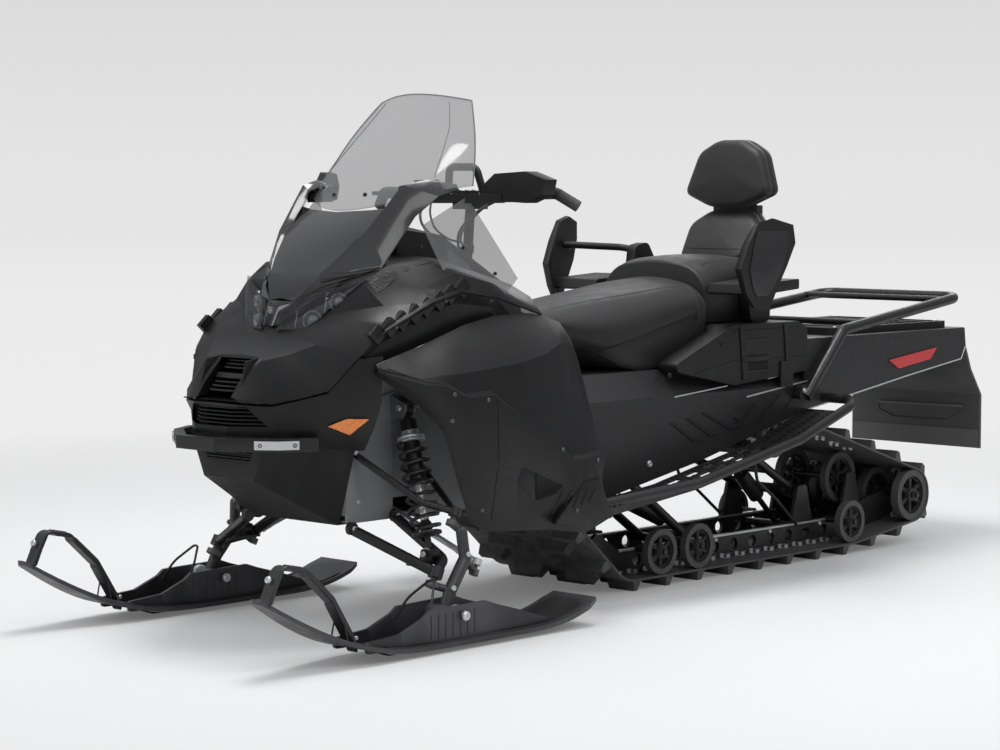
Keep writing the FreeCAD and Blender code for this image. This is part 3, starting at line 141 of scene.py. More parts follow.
class Shape:
    """Collects the faces of one piece before they become its mesh."""

    def __init__(self):
        self.points = []
        self.faces = []
        self.marks = []

    def add(self, points, faces, mark=0):
        base = len(self.points)
        self.points += points
        self.faces += [[base + i for i in face] for face in faces]
        self.marks += [mark] * len(faces)

    def prism(self, outline, push, mark=0):
        """A flat outline pushed along a vector."""
        count = len(outline)
        near = [Vector(point) for point in outline]
        far = [point + Vector(push) for point in near]
        faces = [list(range(count))[::-1], list(range(count, 2 * count))]
        for i in range(count):
            j = (i + 1) % count
            faces.append([i, j, count + j, count + i])
        self.add(near + far, faces, mark)

    def box(self, low, high, mark=0):
        """An upright box between two corners in millimetres."""
        (x1, y1, z1), (x2, y2, z2) = mm(*low), mm(*high)
        self.prism([(x1, y1, z1), (x2, y1, z1), (x2, y2, z1), (x1, y2, z1)], (0, 0, z2 - z1), mark)

    def rings(self, rings, mark=0, closed=False):
        """A skin over rings of points, all with the same count, its ends capped unless it is closed."""
        count = len(rings[0])
        total = len(rings)
        faces = []
        for r in range(total if closed else total - 1):
            a = r * count
            b = ((r + 1) % total) * count
            for i in range(count):
                j = (i + 1) % count
                faces.append([a + i, a + j, b + j, b + i])
        if not closed:
            faces.append(list(range(count))[::-1])
            faces.append([(total - 1) * count + i for i in range(count)])
        self.add([point for ring in rings for point in ring], faces, mark)

    def tube(self, path, radius, sides=8, mark=0, closed=False):
        """A round bar along a path."""
        path = [Vector(point) for point in path]
        total = len(path)
        turns = [2 * math.pi * k / sides for k in range(sides)]
        rings = []
        normal = None
        for i, here in enumerate(path):
            if closed:
                run = path[(i + 1) % total] - path[i - 1]
            else:
                run = path[min(i + 1, total - 1)] - path[max(i - 1, 0)]
            run.normalize()
            if normal is None:
                guess = Vector((0, 0, 1)) if abs(run.z) < 0.9 else Vector((0, 1, 0))
                normal = (guess - run * guess.dot(run)).normalized()
            normal = (normal - run * normal.dot(run)).normalized()
            across = run.cross(normal)
            rings.append([here + normal * (math.cos(turn) * radius) + across * (math.sin(turn) * radius)
                          for turn in turns])
        self.rings(rings, mark, closed)

    def lathe(self, profile, centre, axis, steps=24, mark=0):
        """A turned form: profile points are (radius, distance along the axis)."""
        axis = Vector(axis).normalized()
        guess = Vector((0, 0, 1)) if abs(axis.z) < 0.9 else Vector((1, 0, 0))
        first = (guess - axis * guess.dot(axis)).normalized()
        second = axis.cross(first)
        turns = [2 * math.pi * k / steps for k in range(steps)]
        spokes = [first * math.cos(turn) + second * math.sin(turn) for turn in turns]
        self.rings([[Vector(centre) + axis * along + spoke * radius for spoke in spokes]
                    for radius, along in profile], mark)

    def collar(self, inner, outer, half, flat, centre, axis, steps=24):
        """A turned ring with eased edges; half and flat are half its width, whole and at the outer radius."""
        self.lathe([(inner, -half), (outer, -flat), (outer, flat), (inner, half)], centre, axis, steps)

    def bolt(self, place, axis, size, mark=0, height=0.6):
        """A domed screw head of the given radius, standing on its place."""
        self.lathe([(size, -size * 0.2), (size, size * height * 0.55), (size * 0.8, size * height),
                    (size * 0.42, size * height), (size * 0.4, size * height * 0.5)], place, axis, 12, mark)

    def bolts(self, places, axis, size, mark=0):
        """Equal screw heads at places in millimetres."""
        for place in places:
            self.bolt(mm(*place), axis, size, mark)

    def sheet(self, rows, thickness, mark=0):
        """A grid of points, given its thickness behind it."""
        height = len(rows)
        width = len(rows[0])
        front = [point for row in rows for point in row]
        faces = []
        back = []
        for r in range(height):
            for c in range(width):
                a = r * width + c
                if r < height - 1 and c < width - 1:
                    faces.append([a, a + 1, a + width + 1, a + width])
                along = rows[r][min(c + 1, width - 1)] - rows[r][max(c - 1, 0)]
                down = rows[min(r + 1, height - 1)][c] - rows[max(r - 1, 0)][c]
                back.append(rows[r][c] - along.cross(down).normalized() * thickness)
        base = len(front)
        faces += [[base + i for i in face[::-1]] for face in faces]
        rim = list(range(width))
        rim += [r * width + width - 1 for r in range(1, height)]
        rim += [(height - 1) * width + c for c in range(width - 2, -1, -1)]
        rim += [r * width for r in range(height - 2, 0, -1)]
        for i, a in enumerate(rim):
            b = rim[(i + 1) % len(rim)]
            faces.append([b, a, base + a, base + b])
        self.add(front + back, faces, mark)

    def both_sides(self):
        """Adds the mirror image over the centre plane."""
        base = len(self.points)
        self.points += [Vector((x, -y, z)) for x, y, z in self.points]
        self.faces += [[base + k for k in face[::-1]] for face in self.faces]
        self.marks += self.marks

    def piece(self, name, slot, *finishes, body=CHASSIS, edge=0.0, smooth=SHARP_ANGLE):
        """Makes the object with the slot's finish or its own ones, its edges and shading, riding on its body."""
        mesh = bpy.data.meshes.new(name)
        mesh.from_pydata([tuple(point) for point in self.points], [], self.faces)
        for finish in finishes or (slot,):
            mesh.materials.append(FINISHES[finish])
        mesh.polygons.foreach_set("material_index", self.marks)
        work = bmesh.new()
        work.from_mesh(mesh)
        bmesh.ops.remove_doubles(work, verts=work.verts, dist=WELD_DISTANCE)
        bmesh.ops.recalc_face_normals(work, faces=work.faces)
        work.to_mesh(mesh)
        work.free()
        piece = bpy.data.objects.new(name, mesh)
        bpy.context.scene.collection.objects.link(piece)
        if edge:
            add_bevel(piece, edge)
        mesh.shade_smooth()
        mesh.set_sharp_from_angle(angle=math.radians(smooth))
        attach(piece, body)
        return piece


def add_bevel(piece, width, segments=2, angle=SHARP_ANGLE):
    bevel = piece.modifiers.new("edges", "BEVEL")
    bevel.width = width
    bevel.segments = segments
    bevel.limit_method = "ANGLE"
    bevel.angle_limit = math.radians(angle)
    bevel.harden_normals = True
    return bevel


def fed(tree, node, inputs):
    """Feeds a node: a socket is linked to its input, any other value becomes the input's constant."""
    for key, value in inputs.items():
        socket = node.inputs[key.replace("_", " ") if isinstance(key, str) else key]
        if isinstance(value, bpy.types.NodeSocket):
            tree.links.new(value, socket)
        else:
            socket.default_value = value
    return node


def new_node(tree, kind, **inputs):
    return fed(tree, tree.nodes.new(kind), inputs)


class Nodes:
    """A short way to lay out one finish's nodes."""

    def __init__(self, name):
        self.material = bpy.data.materials.new(name)
        self.material.use_nodes = True
        self.tree = self.material.node_tree
        self.shader = self.tree.nodes["Principled BSDF"]
        self.place = self.node("ShaderNodeTexCoord").outputs["Object"]

    def node(self, kind, **inputs):
        return new_node(self.tree, kind, **inputs)

    def set(self, **inputs):
        """Feeds the shader itself."""
        fed(self.tree, self.shader, inputs)

    def stretched(self, scale):
        return self.node("ShaderNodeMapping", Scale=scale, Vector=self.place).outputs["Vector"]

    def noise(self, scale, detail=3.0, source=None):
        node = self.node("ShaderNodeTexNoise", Scale=scale, Detail=detail, Vector=source or self.place)
        return node.outputs["Fac"]

    def cells(self, scale, feature="F1"):
        node = self.node("ShaderNodeTexVoronoi", Scale=scale, Vector=self.place)
        node.feature = feature
        return node.outputs["Distance"]

    def wave(self, scale, axis):
        node = self.node("ShaderNodeTexWave", Scale=scale, Vector=self.place)
        node.bands_direction = axis
        return node.outputs["Fac"]

    def spread(self, value, low=0.0, high=1.0, start=0.3, end=0.7):
        """The value's range carried over to a new one."""
        node = self.node("ShaderNodeMapRange", Value=value, From_Min=start, From_Max=end, To_Min=low, To_Max=high)
        return node.outputs["Result"]

    def blend(self, share, first, second):
        """A colour between two, each a socket or a plain colour."""
        node = self.node("ShaderNodeMix")
        node.data_type = "RGBA"
        ends = [end if isinstance(end, bpy.types.NodeSocket) else (*end[:3], 1.0) for end in (first, second)]
        fed(self.tree, node, {"Factor": share, 6: ends[0], 7: ends[1]})
        return node.outputs[2]

    def clouds(self, colour, scale, detail, dark, pale):
        """The colour in soft clouds, from a darker to a paler share of it."""
        return self.blend(self.spread(self.noise(scale, detail)), lighter(colour, dark), lighter(colour, pale))

    def math(self, kind, first, second):
        node = self.node("ShaderNodeMath")
        node.operation = kind
        return fed(self.tree, node, {0: first, 1: second}).outputs[0]

    def edges(self, reach=0.08):
        """Bright along convex edges: partly where the finish wears, partly a painted highlight."""
        node = self.node("ShaderNodeNewGeometry")
        return self.spread(node.outputs["Pointiness"], 0.0, 1.0, 0.5 + reach * 0.3, 0.5 + reach)

    def bump(self, height, strength, distance, **over):
        node = self.node("ShaderNodeBump", Strength=strength, Distance=distance, Height=height, **over)
        self.set(Normal=node.outputs["Normal"])
        return node.outputs["Normal"]


def lighter(colour, factor):
    return tuple(min(1.0, value * factor) for value in colour[:3])


def moulded(name, colour, rough, grain, depth, wear, sheen=0.5):
    """Injection-moulded plastic: fine spark grain, faint clouds and paler edges, partly wear and partly painted
    highlight.
    """
    n = Nodes(name)
    base = n.clouds(colour, 6.0, 4.0, 0.86, 1.16)
    # Convex edges are paled towards a lighter colour: wear and a painted highlight.
    n.set(Specular_IOR_Level=sheen, Metallic=0.0, Base_Color=n.blend(n.edges(), base, lighter(colour, wear)),
          Roughness=n.spread(n.noise(14.0, 5.0), rough - 0.06, rough + 0.08))
    coarse = n.bump(n.cells(grain * 0.55), depth, 0.0004)
    n.bump(n.noise(grain, 2.0), depth * 0.6, 0.0003, Normal=coarse)
    return n.material


def gloss(name, colour, rough=0.12):
    """Gloss moulding with a faint ripple and hairline scuffs."""
    n = Nodes(name)
    scuffs = n.noise(60.0, 6.0, n.stretched((1.0, 5.0, 1.0)))
    n.set(Coat_Weight=0.6, Coat_Roughness=0.06, Specular_IOR_Level=0.5,
          Base_Color=n.clouds(colour, 5.0, 3.0, 0.9, 1.25), Roughness=n.spread(scuffs, rough, rough + 0.12))
    n.bump(n.noise(9.0, 2.0), 0.08, 0.0012)
    return n.material


def painted(name, colour, rough=0.38, wear=2.2):
    """Powder-coated metal: orange-peel and paler edges, partly slight wear and partly painted highlight."""
    n = Nodes(name)
    base = n.clouds(colour, 18.0, 4.0, 0.85, 1.2)
    # Convex edges are paled towards a lighter colour: wear and a painted highlight.
    n.set(Metallic=0.0, Coat_Weight=0.15, Coat_Roughness=0.3,
          Base_Color=n.blend(n.edges(0.05), base, lighter(colour, wear)),
          Roughness=n.spread(n.noise(40.0, 3.0), rough - 0.06, rough + 0.1))
    n.bump(n.noise(420.0, 2.0), 0.22, 0.0003)
    return n.material


def metal(name, colour, rough, metallic=1.0):
    """Bare metal with drawn lines and small stains."""
    n = Nodes(name)
    drawn = n.noise(240.0, 3.0, n.stretched((1.0, 1.0, 14.0)))
    n.set(Metallic=metallic, Base_Color=n.clouds(colour, 22.0, 5.0, 0.78, 1.0),
          Roughness=n.spread(drawn, rough - 0.08, rough + 0.14))
    n.bump(drawn, 0.12, 0.0002)
    return n.material


def rubber(name, colour, rough, grain=260.0, dust_and_highlight=0.09):
    """Black rubber: matt, mottled, paler at its edges, partly dust where it rubs and partly painted highlight."""
    n = Nodes(name)
    base = n.clouds(colour, 24.0, 5.0, 0.75, 1.3)
    # Convex edges go towards a pale grey: dust and a painted highlight.
    n.set(Specular_IOR_Level=0.35, Base_Color=n.blend(n.edges(), base, (dust_and_highlight, dust_and_highlight, dust_and_highlight)),
          Roughness=n.spread(n.noise(60.0, 4.0), rough - 0.08, rough + 0.12))
    n.bump(n.noise(grain, 4.0), 0.35, 0.0006)
    return n.material


def seat_vinyl(name, colour):
    """Soft seat cover with a fine hide grain."""
    n = Nodes(name)
    n.set(Sheen_Weight=0.12, Sheen_Roughness=0.5, Specular_IOR_Level=0.4,
          Base_Color=n.clouds(colour, 7.0, 4.0, 0.82, 1.22), Roughness=n.spread(n.noise(26.0, 4.0), 0.42, 0.58))
    grain = n.bump(n.cells(330.0, "DISTANCE_TO_EDGE"), 0.4, 0.0006)
    n.bump(n.noise(45.0, 3.0), 0.12, 0.002, Normal=grain)
    return n.material


def clear_sheet(name, colour, cover):
    """Smoked polycarbonate, seen through by the share that cover leaves."""
    n = Nodes(name)
    n.material.surface_render_method = "BLENDED"
    haze = n.noise(4.0, 3.0)
    n.set(Coat_Weight=1.0, Coat_Roughness=0.03, Specular_IOR_Level=0.6,
          Base_Color=n.blend(n.spread(haze), lighter(colour, 0.9), lighter(colour, 1.1)),
          Alpha=n.spread(haze, cover - 0.015, cover + 0.015), Roughness=n.spread(n.noise(5.0, 2.0), 0.05, 0.09))
    n.bump(n.noise(3.0, 2.0), 0.05, 0.002)
    return n.material


def prisms(name, colour):
    """Reflector plastic: bright colour over a field of small corner prisms."""
    n = Nodes(name)
    cell = n.cells(300.0)
    n.set(Coat_Weight=1.0, Coat_Roughness=0.04, Roughness=0.3,
          Base_Color=n.blend(n.spread(cell, 0.0, 1.0, 0.0, 0.6), lighter(colour, 0.55), lighter(colour, 1.25)))
    n.bump(cell, 0.6, 0.001)
    return n.material


def mesh_grille(name, colour):
    """Punched vent plastic: rows of small holes, painted dark as the shade inside them."""
    n = Nodes(name)
    hole = n.cells(160.0)
    # The holes are darkened colour: painted shade.
    n.set(Base_Color=n.blend(n.spread(hole, 0.0, 1.0, 0.25, 0.4), lighter(colour, 0.25), colour),
          Roughness=n.spread(n.noise(30.0), 0.5, 0.65))
    n.bump(hole, 0.8, 0.0015)
    return n.material


def woven(name, colour):
    """Webbing: crossing threads."""
    n = Nodes(name)
    threads = n.math("ADD", n.wave(260.0, "X"), n.wave(260.0, "Z"))
    n.set(Base_Color=n.blend(n.spread(threads, 0.0, 1.0, 0.2, 1.6), lighter(colour, 0.6), lighter(colour, 1.5)),
          Roughness=n.spread(n.noise(40.0), 0.7, 0.85))
    n.bump(threads, 0.5, 0.0006)
    return n.material


FINISHES = {}


def make_finishes(colours):
    """All finishes by the names of the record's material slots, and some of their own."""
    body = colours.body
    for make, name, *values in (
        (moulded, "matte_body", body, 0.42, 1100.0, 0.16, 1.5, 0.35),
        (moulded, "dark_plastic", lighter(body, 0.72), 0.55, 700.0, 0.35, 1.8),
        # The ski plastic's edges are made much paler: wear and a painted highlight on the skis' edges.
        (moulded, "ski_plastic", (0.026, 0.026, 0.028), 0.42, 500.0, 0.2, 2.6),
        (moulded, "shoe_plastic", (0.05, 0.05, 0.052), 0.4, 300.0, 0.2, 1.5),
        (moulded, "wear_strip", (0.34, 0.34, 0.35), 0.45, 200.0, 0.2, 1.2),
        # A near-black finish put where there are voids: painted shade.
        (moulded, "dark_void", (0.004, 0.004, 0.004), 0.8, 300.0, 0.2, 1.1),
        (gloss, "gloss_body", colours.visor),
        (gloss, "lamp_lens", (0.3, 0.32, 0.35), 0.05),
        (gloss, "clear_edge", (0.14, 0.14, 0.145), 0.1),
        (painted, "painted_black", lighter(body, 0.8)),
        (painted, "dark_alloy", lighter(body, 0.9), 0.45, 2.0),
        (painted, "dark_forging", (0.045, 0.045, 0.047), 0.42, 2.6),
        (painted, "steel_grey", (0.16, 0.165, 0.17), 0.4, 1.6),
        (painted, "cast", (0.12, 0.12, 0.125), 0.6),
        (painted, "pale_plate", (0.6, 0.6, 0.61), 0.4, 1.1),
        (metal, "alloy", (0.78, 0.79, 0.8), 0.34, 0.7),
        (metal, "lamp_bowl", (0.55, 0.56, 0.58), 0.14),
        (metal, "mirror_glass", (0.7, 0.71, 0.72), 0.08),
        # The track rubber takes that paler grey: painted light on the lugs' faces.
        (rubber, "track_rubber", colours.rubber, 0.6),
        (rubber, "wheel_rubber", (0.03, 0.03, 0.031), 0.55, 400.0),
        (rubber, "grip_rubber", (0.012, 0.012, 0.012), 0.7, 500.0),
        (rubber, "flap_rubber", (0.02, 0.02, 0.021), 0.5, 300.0),
        (rubber, "rubber_strip", (0.06, 0.06, 0.062), 0.5, 260.0, 0.16),
        (seat_vinyl, "vinyl", colours.seat),
        (clear_sheet, "smoked_clear", colours.screen, 0.4),
        (clear_sheet, "lamp_clear", (0.05, 0.05, 0.055), 0.42),
        (prisms, "reflector", (0.9, 0.22, 0.02)),
        (prisms, "reflector_red", (0.6, 0.01, 0.012)),
        (mesh_grille, "mesh", lighter(body, 0.8)),
        (woven, "webbing", (0.018, 0.018, 0.019)),
    ):
        FINISHES[name] = make(name, *values)


def ease_solid(node, width):
    """Softens the shown edges of a solid of the frame."""
    piece = frame["nodes"][node]
    weld = piece.modifiers.new("weld", "WELD")
    weld.merge_threshold = 0.0002
    bevel = add_bevel(piece, width, 3, 26.0)
    bevel.use_clamp_overlap = True
    piece.data.shade_smooth()
    piece.data.set_sharp_from_angle(angle=math.radians(30.0))


class SnowmobileColours(bpy.types.PropertyGroup):
    """Colours that a user may change before the pieces are made."""

    body: bpy.props.FloatVectorProperty(
        name="Body", description="Matt moulded body panels", subtype="COLOR", default=(0.0085, 0.0085, 0.009))
    visor: bpy.props.FloatVectorProperty(
        name="Visor", description="Gloss panel under the windshield", subtype="COLOR", default=(0.02, 0.02, 0.021))
    seat: bpy.props.FloatVectorProperty(
        name="Seat", description="Seat cover", subtype="COLOR", default=(0.013, 0.013, 0.0134))
    # The track rubber's default grey is paler than the rubber itself: painted light on the lit faces of the lugs.
    rubber: bpy.props.FloatVectorProperty(
        name="Rubber", description="Track rubber", subtype="COLOR", default=(0.11, 0.11, 0.111))
    screen: bpy.props.FloatVectorProperty(
        name="Windshield", description="Smoke of the clear sheet", subtype="COLOR", default=(0.22, 0.22, 0.225))
    floor: bpy.props.FloatVectorProperty(
        name="Floor", description="Studio floor", subtype="COLOR", default=(0.74, 0.74, 0.74))


class SnowmobileSizes(bpy.types.PropertyGroup):
    """Sizes that a user may change before the pieces are made."""

    lens: bpy.props.FloatProperty(
        name="Lens", description="Focal length that matches the photograph, in millimetres", default=93.843)
    floor_radius: bpy.props.FloatProperty(
        name="Floor radius", description="Reach of the studio floor", default=60.0, unit="LENGTH")
    edge: bpy.props.FloatProperty(
        name="Panel edge", description="Rounding of the body panels' edges", default=0.0025, unit="LENGTH")


def sizes():
    return bpy.context.scene.snowmobile_sizes


def colours():
    return bpy.context.scene.snowmobile_colours


def soft_lamp(name, place, aim, width, height, power):
    data = bpy.data.lights.new(name, "AREA")
    data.shape = "RECTANGLE"
    data.size = width
    data.size_y = height
    data.energy = power
    lamp = bpy.data.objects.new(name, data)
    lamp.location = place
    lamp.rotation_euler = (Vector(aim) - Vector(place)).to_track_quat("-Z", "Y").to_euler()
    bpy.context.scene.collection.objects.link(lamp)


def grey(value):
    return (value, value, value, 1.0)


def studio_world():
    """A soft grey sky, stronger overhead, that the camera sees as an even backdrop."""
    world = bpy.data.worlds.new("studio")
    bpy.context.scene.world = world
    world.use_nodes = True
    tree = world.node_tree
    tree.nodes.clear()
    direction = new_node(tree, "ShaderNodeTexCoord").outputs["Generated"]
    up = new_node(tree, "ShaderNodeSeparateXYZ", Vector=direction).outputs["Z"]
    strength = new_node(tree, "ShaderNodeMapRange", Value=up, From_Max=SKY_RISE, To_Min=SKY_LOW, To_Max=SKY_TOP)
    ramp = new_node(tree, "ShaderNodeValToRGB", Fac=up)
    low, top = ramp.color_ramp.elements
    low.color = grey(BACKDROP_LOW)
    top.color = grey(BACKDROP_TOP)
    top.position = BACKDROP_RISE
    sky = new_node(tree, "ShaderNodeBackground", Color=SKY_COLOUR, Strength=strength.outputs["Result"])
    back = new_node(tree, "ShaderNodeBackground", Color=ramp.outputs["Color"])
    seen = new_node(tree, "ShaderNodeLightPath").outputs["Is Camera Ray"]
    mix = new_node(tree, "ShaderNodeMixShader", Fac=seen)
    fed(tree, mix, {1: sky.outputs["Background"], 2: back.outputs["Background"]})
    new_node(tree, "ShaderNodeOutputWorld", Surface=mix.outputs["Shader"])


def floor_finish():
    """A pale floor that fades into the backdrop with distance and keeps the shadow."""
    n = Nodes("studio_floor")
    n.set(Roughness=0.6, Specular_IOR_Level=0.2, Base_Color=n.clouds(colours().floor, 40.0, 3.0, 0.99, 1.01))
    away = n.node("ShaderNodeVectorMath")
    away.operation = "LENGTH"
    distance = fed(n.tree, away, {0: n.place}).outputs["Value"]
    seen = n.node("ShaderNodeLightPath").outputs["Is Camera Ray"]
    paling = n.spread(distance, FLOOR_NEAR, BACKDROP_LOW, *FLOOR_PALING)
    glow = n.node("ShaderNodeEmission", Color=grey(1.0), Strength=paling)
    fill = n.node("ShaderNodeEmission", Color=grey(FLOOR_FILL), Strength=seen)
    lit = fed(n.tree, n.node("ShaderNodeAddShader"), {0: n.shader.outputs["BSDF"], 1: fill.outputs["Emission"]})
    far = n.math("MULTIPLY", n.spread(distance, 0.0, 1.0, *FLOOR_FADE), seen)
    mix = n.node("ShaderNodeMixShader", Fac=far)
    fed(n.tree, mix, {1: lit.outputs["Shader"], 2: glow.outputs["Emission"]})
    fed(n.tree, n.tree.nodes["Material Output"], {"Surface": mix.outputs["Shader"]})
    return n.material


class SNOW_OT_stage(bpy.types.Operator):
    """Makes the camera, floor, lights and backdrop"""

    bl_idname = "snowmobile.stage"
    bl_label = "Stage"

    def execute(self, context):
        camera_data = bpy.data.cameras.new("camera")
        camera = bpy.data.objects.new("camera", camera_data)
        camera.location = CAMERA_PLACE
        camera.rotation_euler = [math.radians(turn) for turn in CAMERA_TURN]
        camera_data.sensor_width = SENSOR_WIDTH
        camera_data.lens = sizes().lens
        camera_data.clip_end = 300.0
        context.scene.collection.objects.link(camera)
        context.scene.camera = camera
        context.scene.view_settings.view_transform = "Standard"
        reach = sizes().floor_radius
        corners = [(-reach, -reach, 0), (reach, -reach, 0), (reach, reach, 0), (-reach, reach, 0)]
        mesh = bpy.data.meshes.new("floor")
        mesh.from_pydata(corners, [], [[0, 1, 2, 3]])
        mesh.materials.append(floor_finish())
        floor = bpy.data.objects.new("floor", mesh)
        context.scene.collection.objects.link(floor)
        studio_world()
        for lamp in LAMPS:
            soft_lamp(*lamp)
        return {"FINISHED"}


class SNOW_OT_finishes(bpy.types.Operator):
    """Gives every solid of the frame its finish"""

    bl_idname = "snowmobile.finishes"
    bl_label = "Finishes"

    def execute(self, context):
        make_finishes(colours())
        for part in frame["record"]["subparts"]:
            mesh = frame["nodes"][part["node"]].data
            mesh.materials.clear()
            mesh.materials.append(FINISHES[part["material_slot"]])
        for node in ("hood", "nose_cowl", "side_panels", "visor", "belly_pan", "mirrors", "storage_box",
                     "hand_guards", "console", "front_bumper"):
            ease_solid(node, sizes().edge * 1.6)
        return {"FINISHED"}


SKINS = {}


def touch(node, place, push):
    """Where a line from a place, in metres, meets a solid of the frame, and the way its face looks."""
    if node not in SKINS:
        mesh = frame["nodes"][node].data
        corners = [vertex.co for vertex in mesh.vertices]
        SKINS[node] = BVHTree.FromPolygons(corners, [tuple(face.vertices) for face in mesh.polygons])
    push = Vector(push).normalized()
    spot, normal, _, _ = SKINS[node].ray_cast(Vector(place), push)
    if spot is None:
        raise RuntimeError(f"{node} isn't met from {tuple(place)}")
    return spot, -normal if normal.dot(push) > 0 else normal


def laid_line(node, places, push, lift=0.0, steps=6):
    """A line laid on a solid between places in millimetres."""
    starts = [mm(*place) for place in places]
    stops = [start.lerp(end, k / steps) for start, end in zip(starts, starts[1:]) for k in range(steps)]
    path = []
    for stop in stops + starts[-1:]:
        spot, normal = touch(node, stop, push)
        path.append(spot + normal * lift)
    return path


def laid_panel(shape, node, corners, push, lift, thickness=0.002, count=6):
    """A thin panel bent over a solid, between four corners in millimetres; lift and thickness in metres."""
    first, second, third, fourth = [mm(*corner) for corner in corners]
    rows = []
    for i in range(count + 1):
        start = first.lerp(fourth, i / count)
        end = second.lerp(third, i / count)
        row = []
        for k in range(count + 1):
            spot, normal = touch(node, start.lerp(end, k / count), push)
            row.append(spot + normal * lift)
        rows.append(row)
    shape.sheet(rows, thickness)


def screws(shape, node, places, push, size):
    """Screw heads standing on a solid where lines from the places meet it."""
    for place in places:
        spot, normal = touch(node, mm(*place), push)
        shape.bolt(spot, normal, size)


def curve_through(points, steps):
    """Points of a smooth line through the given ones."""
    line = []
    count = len(points)
    for i in range(count - 1):
        group = (points[max(i - 1, 0)], points[i], points[i + 1], points[min(i + 2, count - 1)])
        for k in range(steps):
            t = k / steps
            line.append(tuple(
                0.5 * (2 * b + (c - a) * t + (2 * a - 5 * b + 4 * c - d) * t * t + (3 * b - a - 3 * c + d) * t ** 3)
                for a, b, c, d in zip(*group)))
    line.append(tuple(points[-1]))
    return line


def rounded_end(ring, out):
    """Rings that close a pad with a soft edge."""
    centre = sum(ring, Vector()) / len(ring)
    rings = []
    for step in range(1, 5):
        turn = math.pi / 2 * step / 4
        inset = PAD_END * (1 - math.cos(turn))
        push = Vector((out * PAD_END * math.sin(turn), 0, 0))
        rings.append([point + (centre - point).normalized() * inset + push for point in ring])
    return rings


def seat_pad(stations, sewn):
    """A crowned pad through half outlines (y, z) at each x, in millimetres, with its sewn channels."""
    rows = [curve_through([(x, *half[k]) for x, half in stations], 26) for k in range(len(stations[0][1]))]
    rings = []
    for half in zip(*rows):
        whole = [*half, *[(x, -y, z) for x, y, z in half[-2::-1]]]
        rings.append([Vector(point) for point in curve_through(whole, 14)])
    rings = rounded_end(rings[0], 1)[::-1] + rings + rounded_end(rings[-1], -1)
    for ring in rings:
        centre = sum(ring, Vector()) / len(ring)
        for point in ring:
            point += (centre - point).normalized() * sewn(point)
    shape = Shape()
    shape.rings([[point / 1000 for point in ring] for ring in rings])
    return shape


def channel(distance, depth=3.2, half_width=3.6):
    """How far a sewn channel pulls the cover in at a distance from its line."""
    return depth * math.exp(-(distance / half_width) ** 2)


def driver_seams(point):
    """Two channels along the top, one across the rear and the fold above each side's skirt."""
    across = 100 + (212 - point.x) * 0.126
    depth = 0.0
    if point.z > 780 and -266 < point.x < 262:
        depth += channel(abs(point.y) - across)
    if abs(point.y) > across - 2:
        depth += channel(point.x + 266)
    if abs(point.y) > 150 and -250 < point.x < 140:
        lower = 706 + (130 - point.x) * 0.236 - point.z
        if lower > 0:
            depth += 13 * math.exp(-lower / 34) * min(1.0, lower / 9)
        depth += channel(lower, 2.0, 5.0)
    return depth


def passenger_seams(point):
    """Two channels along the top and one across the rear."""
    depth = 0.0
    if point.z > 890 and -590 < point.x < -345:
        depth += channel(abs(point.y) - 158)
    if abs(point.y) < 160:
        depth += channel(point.x + 590)
    return depth


def upholstered_board(outline, front, depth, lean, crown=12.0, edge=20.0):
    """A padded board: outline in (y, z), crowned face, soft rim with a sewn line round its middle."""
    ring = eased([(0, y, z) for y, z in outline], 24, 6, True)
    centre = sum(ring, Vector()) / len(ring)
    low = min(point.z for point in ring)
    middle = depth / 2
    turns = (0.5, 1.05, 1.57)
    levels = [(0.02, 0, depth + 3), (0.5, 0, depth + 3), (0.8, 0, depth + 2), (1, edge, depth)]
    levels += [(1, edge * (1 - math.sin(a)), depth - edge * (1 - math.cos(a))) for a in turns]
    levels += [(1, 0, middle + 5), (1, 2.6, middle + 1.5), (1, 2.6, middle - 1.5), (1, 0, middle - 5)]
    levels += [(1, edge * (1 - math.sin(a)), edge * (1 - math.cos(a))) for a in turns[::-1]]
    levels += [(1, edge, 0)]
    levels += [(s, edge * s, -crown * (1 - s * s)) for s in (0.88, 0.74, 0.58, 0.4, 0.2, 0.02)]
    rings = []
    for share, inset, back in levels:
        row = []
        for point in ring:
            place = centre + (point - centre) * share + (centre - point).normalized() * inset
            place.x = front - back - (place.z - low) * lean
            row.append(place / 1000)
        rings.append(row)
    shape = Shape()
    shape.rings(rings)
    return shape


def laid_by(piece, places, push):
    """A line laid on a piece of this scene that hasn't been moved."""
    tree = BVHTree.FromObject(piece, bpy.context.evaluated_depsgraph_get())
    path = []
    for place in places:
        spot = tree.ray_cast(mm(*place), Vector(push))[0]
        if spot is None:
            raise RuntimeError(f"{piece.name} isn't met from {place}")
        path.append(spot)
    return path


